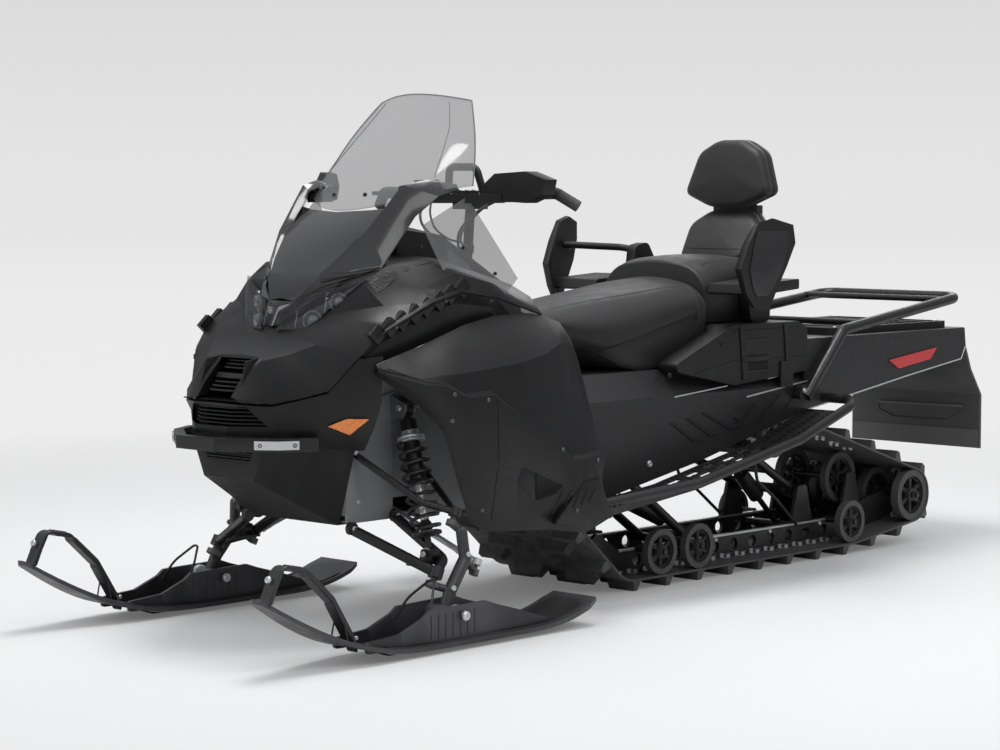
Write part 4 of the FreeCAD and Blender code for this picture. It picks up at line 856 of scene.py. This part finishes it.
class SNOW_OT_seats(bpy.types.Operator):
    """Makes the driver's and passenger's seats and the backrest with its headrest"""

    bl_idname = "snowmobile.seats"
    bl_label = "Seats"

    def execute(self, context):
        driver = seat_pad([
            (334, [(80, 757), (91, 776), (90, 797), (74, 814), (38, 821), (0, 823)]),
            (250, [(134, 726), (150, 752), (146, 786), (104, 818), (54, 829), (0, 832)]),
            (150, [(166, 694), (192, 724), (184, 780), (124, 829), (64, 841), (0, 845)]),
            (20, [(186, 641), (208, 712), (197, 792), (134, 845), (68, 857), (0, 861)]),
            (-100, [(190, 640), (214, 742), (204, 812), (148, 858), (76, 869), (0, 873)]),
            (-200, [(192, 640), (216, 766), (207, 828), (158, 869), (82, 884), (0, 890)]),
            (-285, [(192, 640), (214, 780), (206, 834), (162, 872), (82, 892), (0, 898)]),
        ], driver_seams).piece("driver_seat_pad", "vinyl", smooth=SOFT_ANGLE)
        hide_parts("driver_seat")
        passenger = seat_pad([
            (-316, [(188, 763), (202, 838), (194, 884), (148, 926), (74, 944), (0, 950)]),
            (-380, [(192, 763), (208, 846), (199, 900), (156, 941), (80, 955), (0, 960)]),
            (-520, [(194, 763), (208, 850), (199, 904), (160, 945), (82, 958), (0, 962)]),
            (-625, [(184, 763), (194, 846), (186, 892), (148, 936), (76, 949), (0, 953)]),
        ], passenger_seams).piece("passenger_seat_pad", "vinyl", smooth=SOFT_ANGLE)
        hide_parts("passenger_seat")
        back = upholstered_board(
            [(-120, 944), (120, 944), (138, 1052), (76, 1098), (-76, 1098), (-138, 1052)],
            -561, 68, 0.72, 10, 18).piece("backrest_pad", "vinyl", smooth=SOFT_ANGLE)
        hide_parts("backrest")
        head = upholstered_board(
            [(-66, 1106), (66, 1106), (168, 1148), (122, 1277), (50, 1316), (-50, 1316), (-122, 1277), (-168, 1148)],
            -640, 76, 0.12).piece("headrest_pad", "vinyl", smooth=SOFT_ANGLE)
        bars = Shape()
        for side in SIDES:
            path = [(-640, 70, 950), (-668, 70, 1030), (-716, 66, 1110), (-716, 62, 1190)]
            bars.tube(eased([mm(x, side * y, z) for x, y, z in path], 0.03), 0.009, 12)
            bars.bolt(mm(-700, side * 62, 1100), (-1, 0, 0), 0.008)
        bars.box((-728, -88, 1036), (-700, 88, 1112))
        bars.piece("backrest_frame", "painted_black", edge=0.002)
        band = Shape()
        band.tube(laid_by(back, [(-520, y, 978) for y in range(-112, 113, 16)], (-1, 0, 0)), 0.0016)
        band.piece("backrest_seam", "vinyl")
        return {"FINISHED"}


class SNOW_OT_nose(bpy.types.Operator):
    """Makes the slats, lining, grille, bumper plates, side reflectors, lamp insides and seams of the nose"""

    bl_idname = "snowmobile.nose"
    bl_label = "Nose"

    def execute(self, context):
        slats = Shape()
        for z in (648, 658, 668, 703, 712, 721):
            front = 1428 - (z - 638) * 0.9
            back = front - 34
            plan = [(front - 22, 64), (front, 40), (front + 2, 0), (front, -40), (front - 22, -64),
                    (back, -64), (back, 64)]
            slats.prism(level(plan, z), SLAT)
        bar = [(1380, 66), (1391, 40), (1395, 0), (1391, -40), (1380, -66), (1336, -66), (1336, 66)]
        slats.prism(level(bar, 680), mm(-8, 0, 11))
        for z in (566, 576, 586, 596, 606):
            wide = 144 - (z - 562) * 0.9
            front = 1434 - (wide - 60) * 0.64
            plan = [(front, wide), (1434, 60), (1436, 0), (1434, -60), (front, -wide), (front - 16, -wide),
                    (1418, -60), (1418, 60), (front - 16, wide)]
            slats.prism(level(plan, z), SLAT)
        slats.piece("nose_slats", "dark_plastic", edge=0.001)
        lining = Shape()
        lining.box((1272, -222, 514), (1276, 222, 640))
        lining.box((1272, -180, 640), (1276, 180, 735))
        lining.box((1284, -150, 622), (1416, 150, 625))
        lining.piece("nose_lining", "dark_plastic", "dark_void")
        fins = Shape()
        for z in (474, 486, 498):
            plan = [(1392, 96), (1398, 60), (1399, 0), (1398, -60), (1392, -96), (1386, -96), (1386, 96)]
            fins.prism(level(plan, z), mm(0, 0, 4))
        fins.piece("lower_grille", "dark_plastic", edge=0.0008)
        self.plates()
        self.reflectors()
        self.lamps()
        self.seams()
        return {"FINISHED"}

    def plates(self):
        """The blank plate bent round each end of the bumper."""
        plates = Shape()
        path = [(1442, 158), (1408.5, 205), (1406, 208), (1358, 234)]
        plates.sheet([level(path, z) for z in (530, 508)], 0.0025)
        plates.bolt(mm(1433, 170, 519), (0.8, 0.6, 0), 0.0062, 1)
        plates.bolt(mm(1368, 228.6, 519), (0.48, 0.87, 0), 0.0062, 1)
        plates.both_sides()
        plates.piece("bumper_plates", "alloy", "pale_plate", "dark_forging")

    def reflectors(self):
        """The amber reflector on each side of the cowl."""
        amber = Shape()
        corners = [(1335, 336, 564), (1295, 363, 584), (1248, 396, 582), (1288, 370, 543)]
        laid_panel(amber, "nose_cowl", corners, (-0.56, -0.83, 0), 0.0035, 0.004, 5)
        amber.both_sides()
        amber = amber.piece("amber_reflectors", "reflector", edge=0.0008)
        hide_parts("side_reflectors")

    def lamps(self):
        """Bowls and lenses behind each headlamp's cover, with the ledges beside them."""
        bowls = Shape()
        look = Vector((0.86, 0.42, 0.12)).normalized()
        for place, size in (((1196, 108, 824), 0.021), ((1150, 160, 872), 0.019)):
            centre = mm(*place)
            bowls.lathe([(size * 0.3, -0.02), (size * 0.9, -0.008), (size * 1.15, 0.004), (size * 1.28, 0.004),
                         (size * 1.28, -0.01)], centre, look, 28)
            bowls.lathe([(0.0005, 0.006), (size * 0.4, 0.004), (size * 0.72, -0.002), (size * 0.8, -0.012)],
                        centre, look, 28, 1)
        inwards = mm(-40, 4, 0)
        for low, high in (((1216, 60, 806), (1204, 58, 858)), ((1176, 130, 846), (1160, 120, 898))):
            start, end = mm(*low), mm(*high)
            bowls.prism([start, start + inwards, end + inwards, end], mm(0, 4, 0))
        bowls.both_sides()
        bowls.piece("lamp_bowls", "alloy", "lamp_bowl", "lamp_lens", edge=0.0006)

    def seams(self):
        """The gap under the visor and the one behind each side panel's front."""
        lines = Shape()
        places = [(1260, y, 858 + abs(y) * 0.3) for y in range(-34, 35, 17)]
        lines.tube(laid_line("visor", places, (-1, 0, 0)), 0.0012)
        for side in SIDES:
            places = [(x, side * 520, z) for x, z in ((1180, 712), (1100, 676), (1040, 667))]
            lines.tube(laid_line("side_panels", places, (0, -side, 0)), 0.0012)
        lines.piece("body_seams", "dark_plastic", "dark_void")


class SNOW_OT_windshield(bpy.types.Operator):
    """Makes the windshield's rim, bend lines and fasteners and the mirrors' glass"""

    bl_idname = "snowmobile.windshield"
    bl_label = "Windshield"

    def execute(self, context):
        edge = [(792, 296, 1176), (760, 272, 1240), (722, 236, 1316), (672, 176, 1406), (702, 92, 1420), (716, 0, 1426)]
        edge = [(x - SCREEN_SHIFT, y, z - SCREEN_SHIFT) for x, y, z in edge]
        flank = curve_through(edge[:4], 8)
        top = curve_through(edge[3:] + [(x, -y, z) for x, y, z in edge[4:2:-1]], 8)
        rim = Shape()
        rim.tube([mm(*place) for place in top], 0.0019)
        for side in SIDES:
            rim.tube([mm(x, y * side, z) for x, y, z in flank], 0.0019)
        rim.piece("windshield_rim", "smoked_clear", "clear_edge")
        bends = Shape()
        for side in SIDES:
            places = [(1200, side * y, z) for y, z in ((214, 1196), (196, 1250), (166, 1330), (124, 1402))]
            bends.tube(laid_line("windshield", places, (-1, 0, 0), 0.0, 8), 0.0011, 6)
        bends.piece("windshield_bends", "smoked_clear", "clear_edge")
        studs = Shape()
        for side in SIDES:
            places = [(1200, side * 60, 1150), (1200, side * 150, 1168)]
            screws(studs, "windshield", places, (-1, 0, 0), 0.006)
            places = [(820, side * 420, 1010), (730, side * 420, 940)]
            screws(studs, "side_deflectors", places, (0, -side, 0), 0.005)
        studs.piece("screen_studs", "dark_plastic")
        glass = Shape()
        outline = [(306, 1172), (333, 1201), (399, 1207), (439, 1187), (434, 1153), (398, 1133), (333, 1139)]
        glass.prism([mm(762 - (y - 300) * 0.62 - 45.6, y + 2, z) for y, z in outline], mm(-2.2, 0, 0))
        glass.both_sides()
        glass.piece("mirror_glass", "alloy", "mirror_glass", edge=0.0006)
        return {"FINISHED"}


class SNOW_OT_controls(bpy.types.Operator):
    """Makes the bar's bolts, switch pods, cables and grip ribs, which turn with the handlebar"""

    bl_idname = "snowmobile.controls"
    bl_label = "Controls"

    def execute(self, context):
        clamps = Shape()
        clamps.bolts([(x, y, 1160) for x in (480, 512) for y in (-28, 28)], UP, 0.006)
        clamps.bolts([(548, y, 1157) for y in (150, -150)], UP, 0.007)
        for y in (-60, 60):
            clamps.collar(0.0135, 0.0145, 0.006, 0.005, mm(506, y, 1142), (0.1, 1, 0.05), 20)
        clamps.piece("bar_bolts", "alloy", body=HANDLEBAR)
        pods = Shape()
        pods.box((496, -174, 1178), (546, -122, 1190))
        pods.box((506, 124, 1174), (548, 164, 1181))
        for z in (1140, 1160):
            pods.lathe([(0.006, -0.002), (0.006, 0.004), (0.004, 0.006)], mm(500, 146, z), (-1, 0, 0), 14, 1)
        pods.bolts([(x, y, 1190) for y in (-168, -128) for x in (502, 540)], UP, 0.003, 2)
        pods.piece("switch_pods", "dark_plastic", "dark_plastic", "reflector_red", "alloy",
                   body=HANDLEBAR, edge=0.0015)
        cables = Shape()
        for side, lift in ((1, 0), (-1, 12)):
            for radius, path in (
                (0.0038, [(528, 128, 1130), (586, 112, 1104), (618, 72, 1050 + lift), (580, 34, 1000 + lift),
                          (528, 16, 985 + lift)]),
                (0.003, [(530, 120, 1132), (566, 92, 1096), (588, 50, 1040 + lift), (556, 24, 1010 + lift),
                         (524, 12, 1004 + lift)]),
            ):
                cables.tube(eased([mm(x, side * y, z) for x, y, z in path], 0.05, 6), radius, 10)
        cables.collar(0.0152, 0.0172, 0.012, 0.011, mm(505.4, 0, 997), (-27, 0, 320))
        cables.piece("control_cables", "dark_plastic", "grip_rubber", body=HANDLEBAR)
        ribs = Shape()
        for side in SIDES:
            axis = (-0.0753, side, 0.02)
            for i in range(15):
                along = 16 + i * GRIP_RIB_PITCH
                centre = mm(516.2 - along * 0.0753, side * (190 + along), 1151 + along * 0.0205)
                ribs.collar(0.0158, 0.0172, 0.0014, 0.0009, centre, axis, 20)
            ribs.collar(0.0158, 0.021, 0.003, 0.002, mm(516.6, side * 192, 1151), axis)
        ribs.piece("grip_ribs", "grip_rubber", body=HANDLEBAR)
        return {"FINISHED"}


class SNOW_OT_panels(bpy.types.Operator):
    """Makes the screws and gaps of the body panels, foot ribs, guard insets and vent panels"""

    bl_idname = "snowmobile.panels"
    bl_label = "Panels"

    def execute(self, context):
        fixings = Shape()
        lines = Shape()
        for side in SIDES:
            push = (0, -side, 0)
            for node, size, places in (
                ("side_panels", 0.0055, ((1020, 572), (1020, 640), (905, 620), (905, 330), (620, 470), (470, 430),
                                         (560, 300))),
                ("console", 0.005, ((840, 1010), (660, 950))),
                ("hood", 0.0045, ((1120, 812), (940, 874), (760, 868))),
            ):
                screws(fixings, node, [(x, side * BESIDE[node], z) for x, z in places], push, size)
            for node, radius, places in (
                ("side_panels", 0.0012, ((870, 620), (862, 460), (868, 300))),
                ("storage_box", 0.0015, ((-332, 742), (-660, 742))),
                ("storage_box", 0.0015, ((-150, 624), (-330, 652), (-680, 652))),
            ):
                lines.tube(laid_line(node, [(x, side * BESIDE[node], z) for x, z in places], push), radius)
        fixings.piece("panel_screws", "dark_forging")
        lines.piece("panel_gaps", "dark_plastic", "dark_void")
        ribs = Shape()
        for side in SIDES:
            for i in range(5):
                x = 636 - i * 32
                places = [(x, side * 560, 296 + i * 6), (x - 26, side * 560, 356 - i * 2)]
                ribs.tube(laid_line("side_panels", places, (0, -side, 0), 0.0005), 0.0032)
        ribs.piece("foot_ribs", "dark_plastic")
        shells = Shape()
        shells.sheet([laid_line("hand_guards", [(low, 500, z), (high, 500, z)], (0, -1, 0), 0.0018)
                      for z, low, high in ((1040, -300, -404), (1000, -282, -402), (930, -262, -380),
                                           (872, -276, -344), (850, -290, -324))], 0.003)
        shells.both_sides()
        shells.piece("guard_insets", "gloss_body", edge=0.001, smooth=SOFT_ANGLE)
        vents = Shape()
        corners = [(1112, 290, 1100), (1112, 318, 1060), (912, 304, 1080), (948, 254, 1120)]
        laid_panel(vents, "hood", corners, (0, -0.35, -1), 0.0012)
        vents.both_sides()
        vents.piece("vent_panels", "dark_plastic", "mesh")
        return {"FINISHED"}


class SNOW_OT_suspension(bpy.types.Operator):
    """Makes the bright parts, boots and fasteners of the front suspension and tie rods"""

    bl_idname = "snowmobile.suspension"
    bl_label = "Suspension"

    def execute(self, context):
        bright = Shape()
        dark = Shape()
        top = mm(982, 236, 592)
        low = mm(1024, 368, 222)
        line = (top - low).normalized()
        for centre in (top, low):
            for way in SIDES:
                bright.lathe([(0.0065, 0.0118), (0.0125, 0.0138), (0.0168, 0.0142), (0.0172, 0.0132)],
                             centre, (way, 0, 0))
            for way in (1, -1):
                bright.bolt(centre + mm(25.5 * way, 0, 0), (way, 0, 0), 0.0085)
        bright.lathe([(0.034, -0.001), (0.0362, 0.001), (0.0362, 0.006), (0.035, 0.008), (0.0362, 0.01),
                      (0.0362, 0.0135), (0.034, 0.0145)], top - line * 0.094, line, 36)
        bright.lathe([(0.0085, 0.0), (0.0115, 0.002), (0.0115, 0.118), (0.0085, 0.12)], low + line * 0.064, line, 20)
        bright.lathe([(0.0222, 0.0), (0.0238, 0.002), (0.0238, 0.012), (0.0222, 0.014)], top - line * 0.078, line, 32)
        dark.lathe([(0.014, 0.0), (0.018, 0.004), (0.0125, 0.012), (0.017, 0.018), (0.012, 0.026), (0.0085, 0.03)],
                   low + line * 0.062, line)
        bright.bolts([(1150, 215.8, 284), (992, 215.8, 304), (1144, 213, 484), (900, 213, 440)], LEFT, 0.0082)
        places = ((1120, 350), (1080, 520), (900, 590), (860, 380), (700, 560))
        bright.bolts([(x, 198, z) for x, z in places], LEFT, 0.006)
        bright.both_sides()
        dark.both_sides()
        bright.piece("shock_fittings", "alloy", edge=0.0004)
        dark.piece("shock_boots", "grip_rubber")
        for name, side in NAMED_SIDES:
            end = mm(918, side * 434, 195)
            way = (mm(951, side * 150, 315) - end).normalized()
            nuts = Shape()
            nuts.lathe([(0.0078, 0.0), (0.0112, 0.001), (0.0112, 0.012), (0.0078, 0.013)], end + way * 0.03, way, 6)
            nuts.lathe([(0.0078, 0.0), (0.0096, 0.002), (0.0096, 0.026), (0.0078, 0.028)], end + way * 0.044, way, 20)
            nuts.piece(f"tie_rod_nuts_{name}", "alloy", body=f"tie_rod_{name}")
        return {"FINISHED"}


class SNOW_OT_skis(bpy.types.Operator):
    """Makes the ribs, runners, rubber blocks, bolts and wire stays of the skis"""

    bl_idname = "snowmobile.skis"
    bl_label = "Skis"

    def execute(self, context):
        for name, side in NAMED_SIDES:
            middle = side * SKI_MIDDLE
            body = f"ski_assembly_{name}"
            ski = f"ski_{name}"
            ribs = Shape()
            for y in (-34, -17, 17, 34):
                ribs.tube(laid_line(ski, [(1400, middle + y, 300), (1610, middle + y * 0.62, 300)], DOWN), 0.0028)
            for x in (1386, 1412, 1438):
                ribs.tube(laid_line(ski, [(x, middle - 46, 300), (x, middle + 46, 300)], DOWN), 0.0022)
            for way in SIDES:
                y = middle + way * 74
                ribs.tube(laid_line(ski, [(640, y, 300), (1340, y, 300)], DOWN, 0.0, 14), 0.003)
                y = middle + way * 63.5
                for x in range(1020, 1200, 26):
                    ribs.box((x, y - 1.5, 34), (x + 6, y + 1.5, 96))
            ribs.piece(f"ski_ribs_{name}", "ski_plastic", body=body, edge=0.0008)
            bright = Shape()
            for way in SIDES:
                bright.bolt(mm(1070, middle + way * 75, 84), (0, way, 0), 0.013, 0, 0.5)
                bright.bolt(mm(1400, middle + way * 19, 62), (0, way, 0), 0.006)
            bright.bolt(mm(1669, middle, 234), (1, 0, 0.5), 0.009)
            bright.box((770, middle - 9.8, 3), (1260, middle + 9.8, 8), 1)
            for way in SIDES:
                y = middle + way * 80
                bright.tube(laid_line(ski, [(620, y, -60), (1350, y, -60)], UP, -0.0008, 26), 0.0026, 8, 2)
            bright.piece(f"ski_bolts_{name}", "alloy", "alloy", "steel_grey", "wear_strip", body=body, edge=0.0005)
            block = Shape()
            outline = [(1000, 26), (1140, 26), (1128, 56), (1102, 64), (1036, 64), (1012, 54)]
            block.prism(upright(outline, middle - 34), mm(0, 68, 0))
            block.piece(f"ski_block_{name}", "grip_rubber", body=body, edge=0.003)
            stay = Shape()
            path = [(1196, -53, 78), (1160, -44, 128), (1116, -8, 172), (1116, 8, 172), (1160, 44, 128), (1196, 53, 78)]
            stay.tube(eased([mm(x, middle + y, z) for x, y, z in path], 0.02), 0.0034, 10)
            stay.piece(f"ski_stay_{name}", "painted_black", body=body)
            forged = Shape()
            forged.collar(0.0225, 0.025, 0.008, 0.006, mm(1070, middle + side * 40, 84), LEFT, 28)
            forged.bolts([(1052, middle + side * 14, 146), (990, middle + side * 6, 226)], (0, side, 0), 0.0075)
            forged.piece(f"spindle_bolts_{name}", "alloy", body=body, edge=0.0005)
        return {"FINISHED"}


class SNOW_OT_skid(bpy.types.Operator):
    """Makes the track's clips, the slide shoes, hub caps and torsion springs of the rear skid"""

    bl_idname = "snowmobile.skid"
    bl_label = "Track and skid"

    def execute(self, context):
        self.clips()
        shoes = Shape()
        for side in SIDES:
            y = side * RAIL_MIDDLE
            shoes.box((-1000, y - 9.5, 37), (60, y + 9.5, 46))
            shoes.box((-1096, y - 7.5, 99), (20, y + 7.5, 105.5), 1)
        shoes.piece("slide_shoes", "ski_plastic", "shoe_plastic", "alloy", edge=0.0015)
        caps = Shape()
        for x, y, z in ((-58, 251, 103.5), (-230, 251, 103.5), (-999, 251, 103.5), (-1327, 262, 161)):
            caps.lathe([(0.0165, -0.002), (0.0175, 0.0015), (0.012, 0.0035), (0.009, 0.0035), (0.009, 0.009),
                        (0.007, 0.0105)], mm(x, y, z), LEFT)
        for x, y, z in ((-640, 212, 400), (40, 120, 372)):
            caps.lathe([(0.0165, -0.002), (0.0165, 0.004), (0.012, 0.006)], mm(x, y, z), LEFT)
        caps.bolts([(x, 146, 92) for x in (-960, -700, -430, -160)], LEFT, 0.007, 1)
        caps.bolts([(x, TUNNEL_WALL, z) for x, z in ((40, 372), SPRING_CENTRE)], LEFT, 0.01, 1)
        caps.both_sides()
        caps.piece("hub_caps", "painted_black", "painted_black", "alloy", edge=0.0004)
        springs = Shape()
        centre_x, centre_z = SPRING_CENTRE
        for side in SIDES:
            path = []
            for i in range(0, 97, 2):
                turn = math.radians(i * 16.875 - 30)
                path.append(mm(centre_x + SPRING_COIL * math.cos(turn), side * (128 + i * 0.42),
                               centre_z + SPRING_COIL * math.sin(turn)))
            tail = [mm(-620, side * 158, 258), mm(-722, side * 156, 190), mm(-834, side * 148, 102)]
            springs.tube(path + tail, 0.0052, 10)
        springs.piece("torsion_springs", "painted_black")
        return {"FINISHED"}

    def clips(self):
        """A steel clip with two guide horns at each window of the track, in two rows."""
        clips = Shape()
        starts = [((60 - i * CLIP_PITCH, 90), (0, -1)) for i in range(15)]
        starts += [((300 - i * CLIP_PITCH, 330), (0.1, 1)) for i in range(20)]
        for axle, turns in (((372, 380), range(-60, 70, 24)), ((-1327, 161), range(110, 260, 24))):
            starts += [(axle, (math.cos(math.radians(turn)), math.sin(math.radians(turn)))) for turn in turns]
        for (x, z), (push_x, push_z) in starts:
            push = Vector((push_x, 0, push_z)).normalized()
            for y in (-168, 168):
                spot, normal = touch("track", mm(x, y, z), push)
                along = Vector((normal.z, 0, -normal.x)) * 0.008
                start = spot - normal * 0.0005
                for low, high, rise in ((-14, 14, 1.4), (-14, -11, 13), (11, 14, 13)):
                    near, far = mm(0, low, 0), mm(0, high, 0)
                    clips.prism([start - along + near, start + along + near, start + along + far, start - along + far],
                                normal * (rise + 0.5) / 1000)
        clips.piece("track_clips", "alloy")


class SNOW_OT_tunnel(bpy.types.Operator):
    """Makes the tunnel's trims and louvres, the boards' teeth, box latches and straps, rear reflectors and fixings"""

    bl_idname = "snowmobile.tunnel"
    bl_label = "Tunnel and rear"

    def execute(self, context):
        trims = Shape()
        for side in SIDES:
            for x1, z1, x2, z2, height in ((-412, 542, -716, 574, 5), (-515, 591, -634, 603, 4),
                                           (-72, 561, -322, 580, 4)):
                outline = [(x1, z1), (x2, z2), (x2 + 8, z2 - height), (x1, z1 - height)]
                trims.prism(upright(outline, side * TUNNEL_WALL), mm(0, side * 1.8, 0))
            edge = [(-700, 481), (-1249, 559), (-1560, 599), (-1584, 639)]
            trims.tube(upright(edge, side * (TUNNEL_WALL + 0.5)), 0.0026)
        trims.piece("tunnel_trims", "alloy", edge=0.0005)
        louvres = Shape()
        for outline in (
            [(-51, 483), (-159, 420), (-216, 425), (-202, 434), (-166, 432), (-70, 485)],
            [(-121, 492), (-240, 431), (-281, 436), (-266, 446), (-247, 441), (-142, 494)],
            [(-194, 504), (-329, 446), (-405, 456), (-363, 484), (-352, 480), (-376, 463), (-334, 457), (-215, 505)],
        ):
            louvres.prism(upright(outline, TUNNEL_WALL - 1), mm(0, 4, 0))
        louvres.both_sides()
        louvres.piece("tunnel_louvres", "dark_plastic", edge=0.0015)
        self.teeth()
        self.box_details()
        self.rear()
        self.rack()
        return {"FINISHED"}

    def teeth(self):
        """Rows of grip teeth on the running boards, taller on their outer rim."""
        boards = Shape()
        line = [(398, 270), (20, 312), (-449, 402), (-705, 486)]
        for (x1, z1), (x2, z2) in zip(line, line[1:]):
            count = int(abs(x2 - x1) / TOOTH_PITCH)
            for i in range(count):
                share = (i + 0.5) / count
                x = x1 + (x2 - x1) * share
                z = z1 + (z2 - z1) * share
                rim = [(x + 9, z + 15), (x - 9, z + 15), (x - 4, z + 22), (x + 4, z + 22)]
                boards.prism(upright(rim, 427.5), mm(0, 9, 0))
                tread = [(x + 5, z - 0.5), (x - 5, z - 0.5), (x - 2, z + 5), (x + 2, z + 5)]
                for y in (300, 342, 384):
                    boards.prism(upright(tread, y), mm(0, 14, 0))
        boards.both_sides()
        boards.piece("board_teeth", "dark_alloy")

    def box_details(self):
        """Latch, ledges, recess and bolts on each front of the storage box, and its straps; the recess floor is
        near-black painted shade.
        """
        latches = Shape()
        for side in SIDES:
            for x1, z1, x2, z2, out, half, mark in (
                (-497, 668, -371, 714, -0.5, 2.5, 0), (-504, 646, -378, 661, 1, 4, 0),
                # The inset plate marked 1 takes the near-black finish as painted shade in the recess.
                (-500, 620, -384, 646, -1.8, 1, 1), (-508, 612, -378, 620, 0, 3, 0),
                (-620, 560, -560, 640, 0, 4, 0),
            ):
                y = side * (BOX_WALL + out)
                latches.box((x1, y - half, z1), (x2, y + half, z2), mark)
            latches.bolts([(x, side * (BOX_WALL - 2), z) for x, z in ((-36, 624), (-278, 706))], (0, side, 0), 0.008)
        latches.piece("box_latches", "dark_plastic", "dark_plastic", "dark_void", edge=0.0025)
        straps = Shape()
        for side in SIDES:
            for x in (-372, -588):
                outline = [(x - 13, 752), (x + 13, 752), (x - 5, 592), (x - 31, 592)]
                straps.prism(upright(outline, side * BOX_WALL), mm(0, side * 2.2, 0))
        straps.piece("box_straps", "vinyl", "webbing", edge=0.0006)

    def rear(self):
        """Red side reflectors, and the flap's strip, frame and bolts."""
        red = Shape()
        outline = [(-1142, 615), (-1197, 585), (-1376, 607), (-1412, 644)]
        red.prism(upright(outline, TUNNEL_WALL + 0.2), mm(0, 5.4, 0))
        red.both_sides()
        red.piece("red_reflectors", "reflector", "reflector_red", edge=0.001)
        flap = Shape()
        flap.box((-1712.4, -256, 290), (-1708, 256, 350))
        flap.box((-1700, -256, 289), (-1696.5, 256, 350))
        edge = [(-148, 424), (193, 427), (191, 411), (135, 376), (-86, 375), (-148, 398)]
        flap.tube([mm(-1698.5, y, z) for y, z in edge], 0.0032, closed=True)
        flap.prism([mm(-1700, y, z) for y, z in ((-148, 420), (193, 423), (193, 431), (-148, 428))], mm(7, 0, 0))
        flap.bolts([(-1712.2, y, 338) for y in (-220, -110, 0, 110, 220)], (-1, 0, 0), 0.006, 1)
        flap.bolts([(-1592, y, 696) for y in (-180, 180)], (-1, 0, 0), 0.008, 1)
        flap.piece("flap_strip", "flap_rubber", "rubber_strip", "alloy", edge=0.0012)

    def rack(self):
        """Bolts of the rack and the ridges of the deck's mats."""
        fixings = Shape()
        for side in SIDES:
            fixings.bolts([(x, side * 303, z) for x, z in ((-698, 540), (-664, 545))], (0, side, 0), 0.008)
            fixings.bolts([(x, side * 214, 724.3) for x in (-940, -1200, -1500)], UP, 0.007)
        for i in range(7):
            x = -975 - i * MAT_PITCH
            for side in SIDES:
                for k in range(6):
                    y = side * 112 - 82 + k * 30
                    fixings.box((x - 54, y, 714), (x - 2, y + 8, 717.5), 1)
        fixings.piece("rack_bolts", "alloy", "alloy", "dark_plastic", edge=0.0004)


OPERATORS = (SNOW_OT_stage, SNOW_OT_finishes, SNOW_OT_seats, SNOW_OT_nose, SNOW_OT_windshield, SNOW_OT_controls,
             SNOW_OT_panels, SNOW_OT_suspension, SNOW_OT_skis, SNOW_OT_skid, SNOW_OT_tunnel)


class SNOW_PT_sidebar(bpy.types.Panel):
    """Lists the colours, sizes and pieces in the sidebar"""

    bl_label = "Snowmobile"
    bl_idname = "SNOW_PT_sidebar"
    bl_space_type = "VIEW_3D"
    bl_region_type = "UI"
    bl_category = "Snowmobile"

    def draw(self, context):
        layout = self.layout
        for name in SnowmobileColours.__annotations__:
            layout.prop(colours(), name)
        for name in SnowmobileSizes.__annotations__:
            layout.prop(sizes(), name)
        for operator in OPERATORS:
            layout.operator(operator.bl_idname)


CLASSES = (SnowmobileColours, SnowmobileSizes, *OPERATORS, SNOW_PT_sidebar)


def register():
    for item in CLASSES:
        bpy.utils.register_class(item)
    bpy.types.Scene.snowmobile_colours = bpy.props.PointerProperty(type=SnowmobileColours)
    bpy.types.Scene.snowmobile_sizes = bpy.props.PointerProperty(type=SnowmobileSizes)


def unregister():
    del bpy.types.Scene.snowmobile_sizes
    del bpy.types.Scene.snowmobile_colours
    for item in reversed(CLASSES):
        bpy.utils.unregister_class(item)


def main():
    register()
    for operator in OPERATORS:
        group, name = operator.bl_idname.split(".")
        getattr(getattr(bpy.ops, group), name)()


if __name__ == "__main__":
    main()
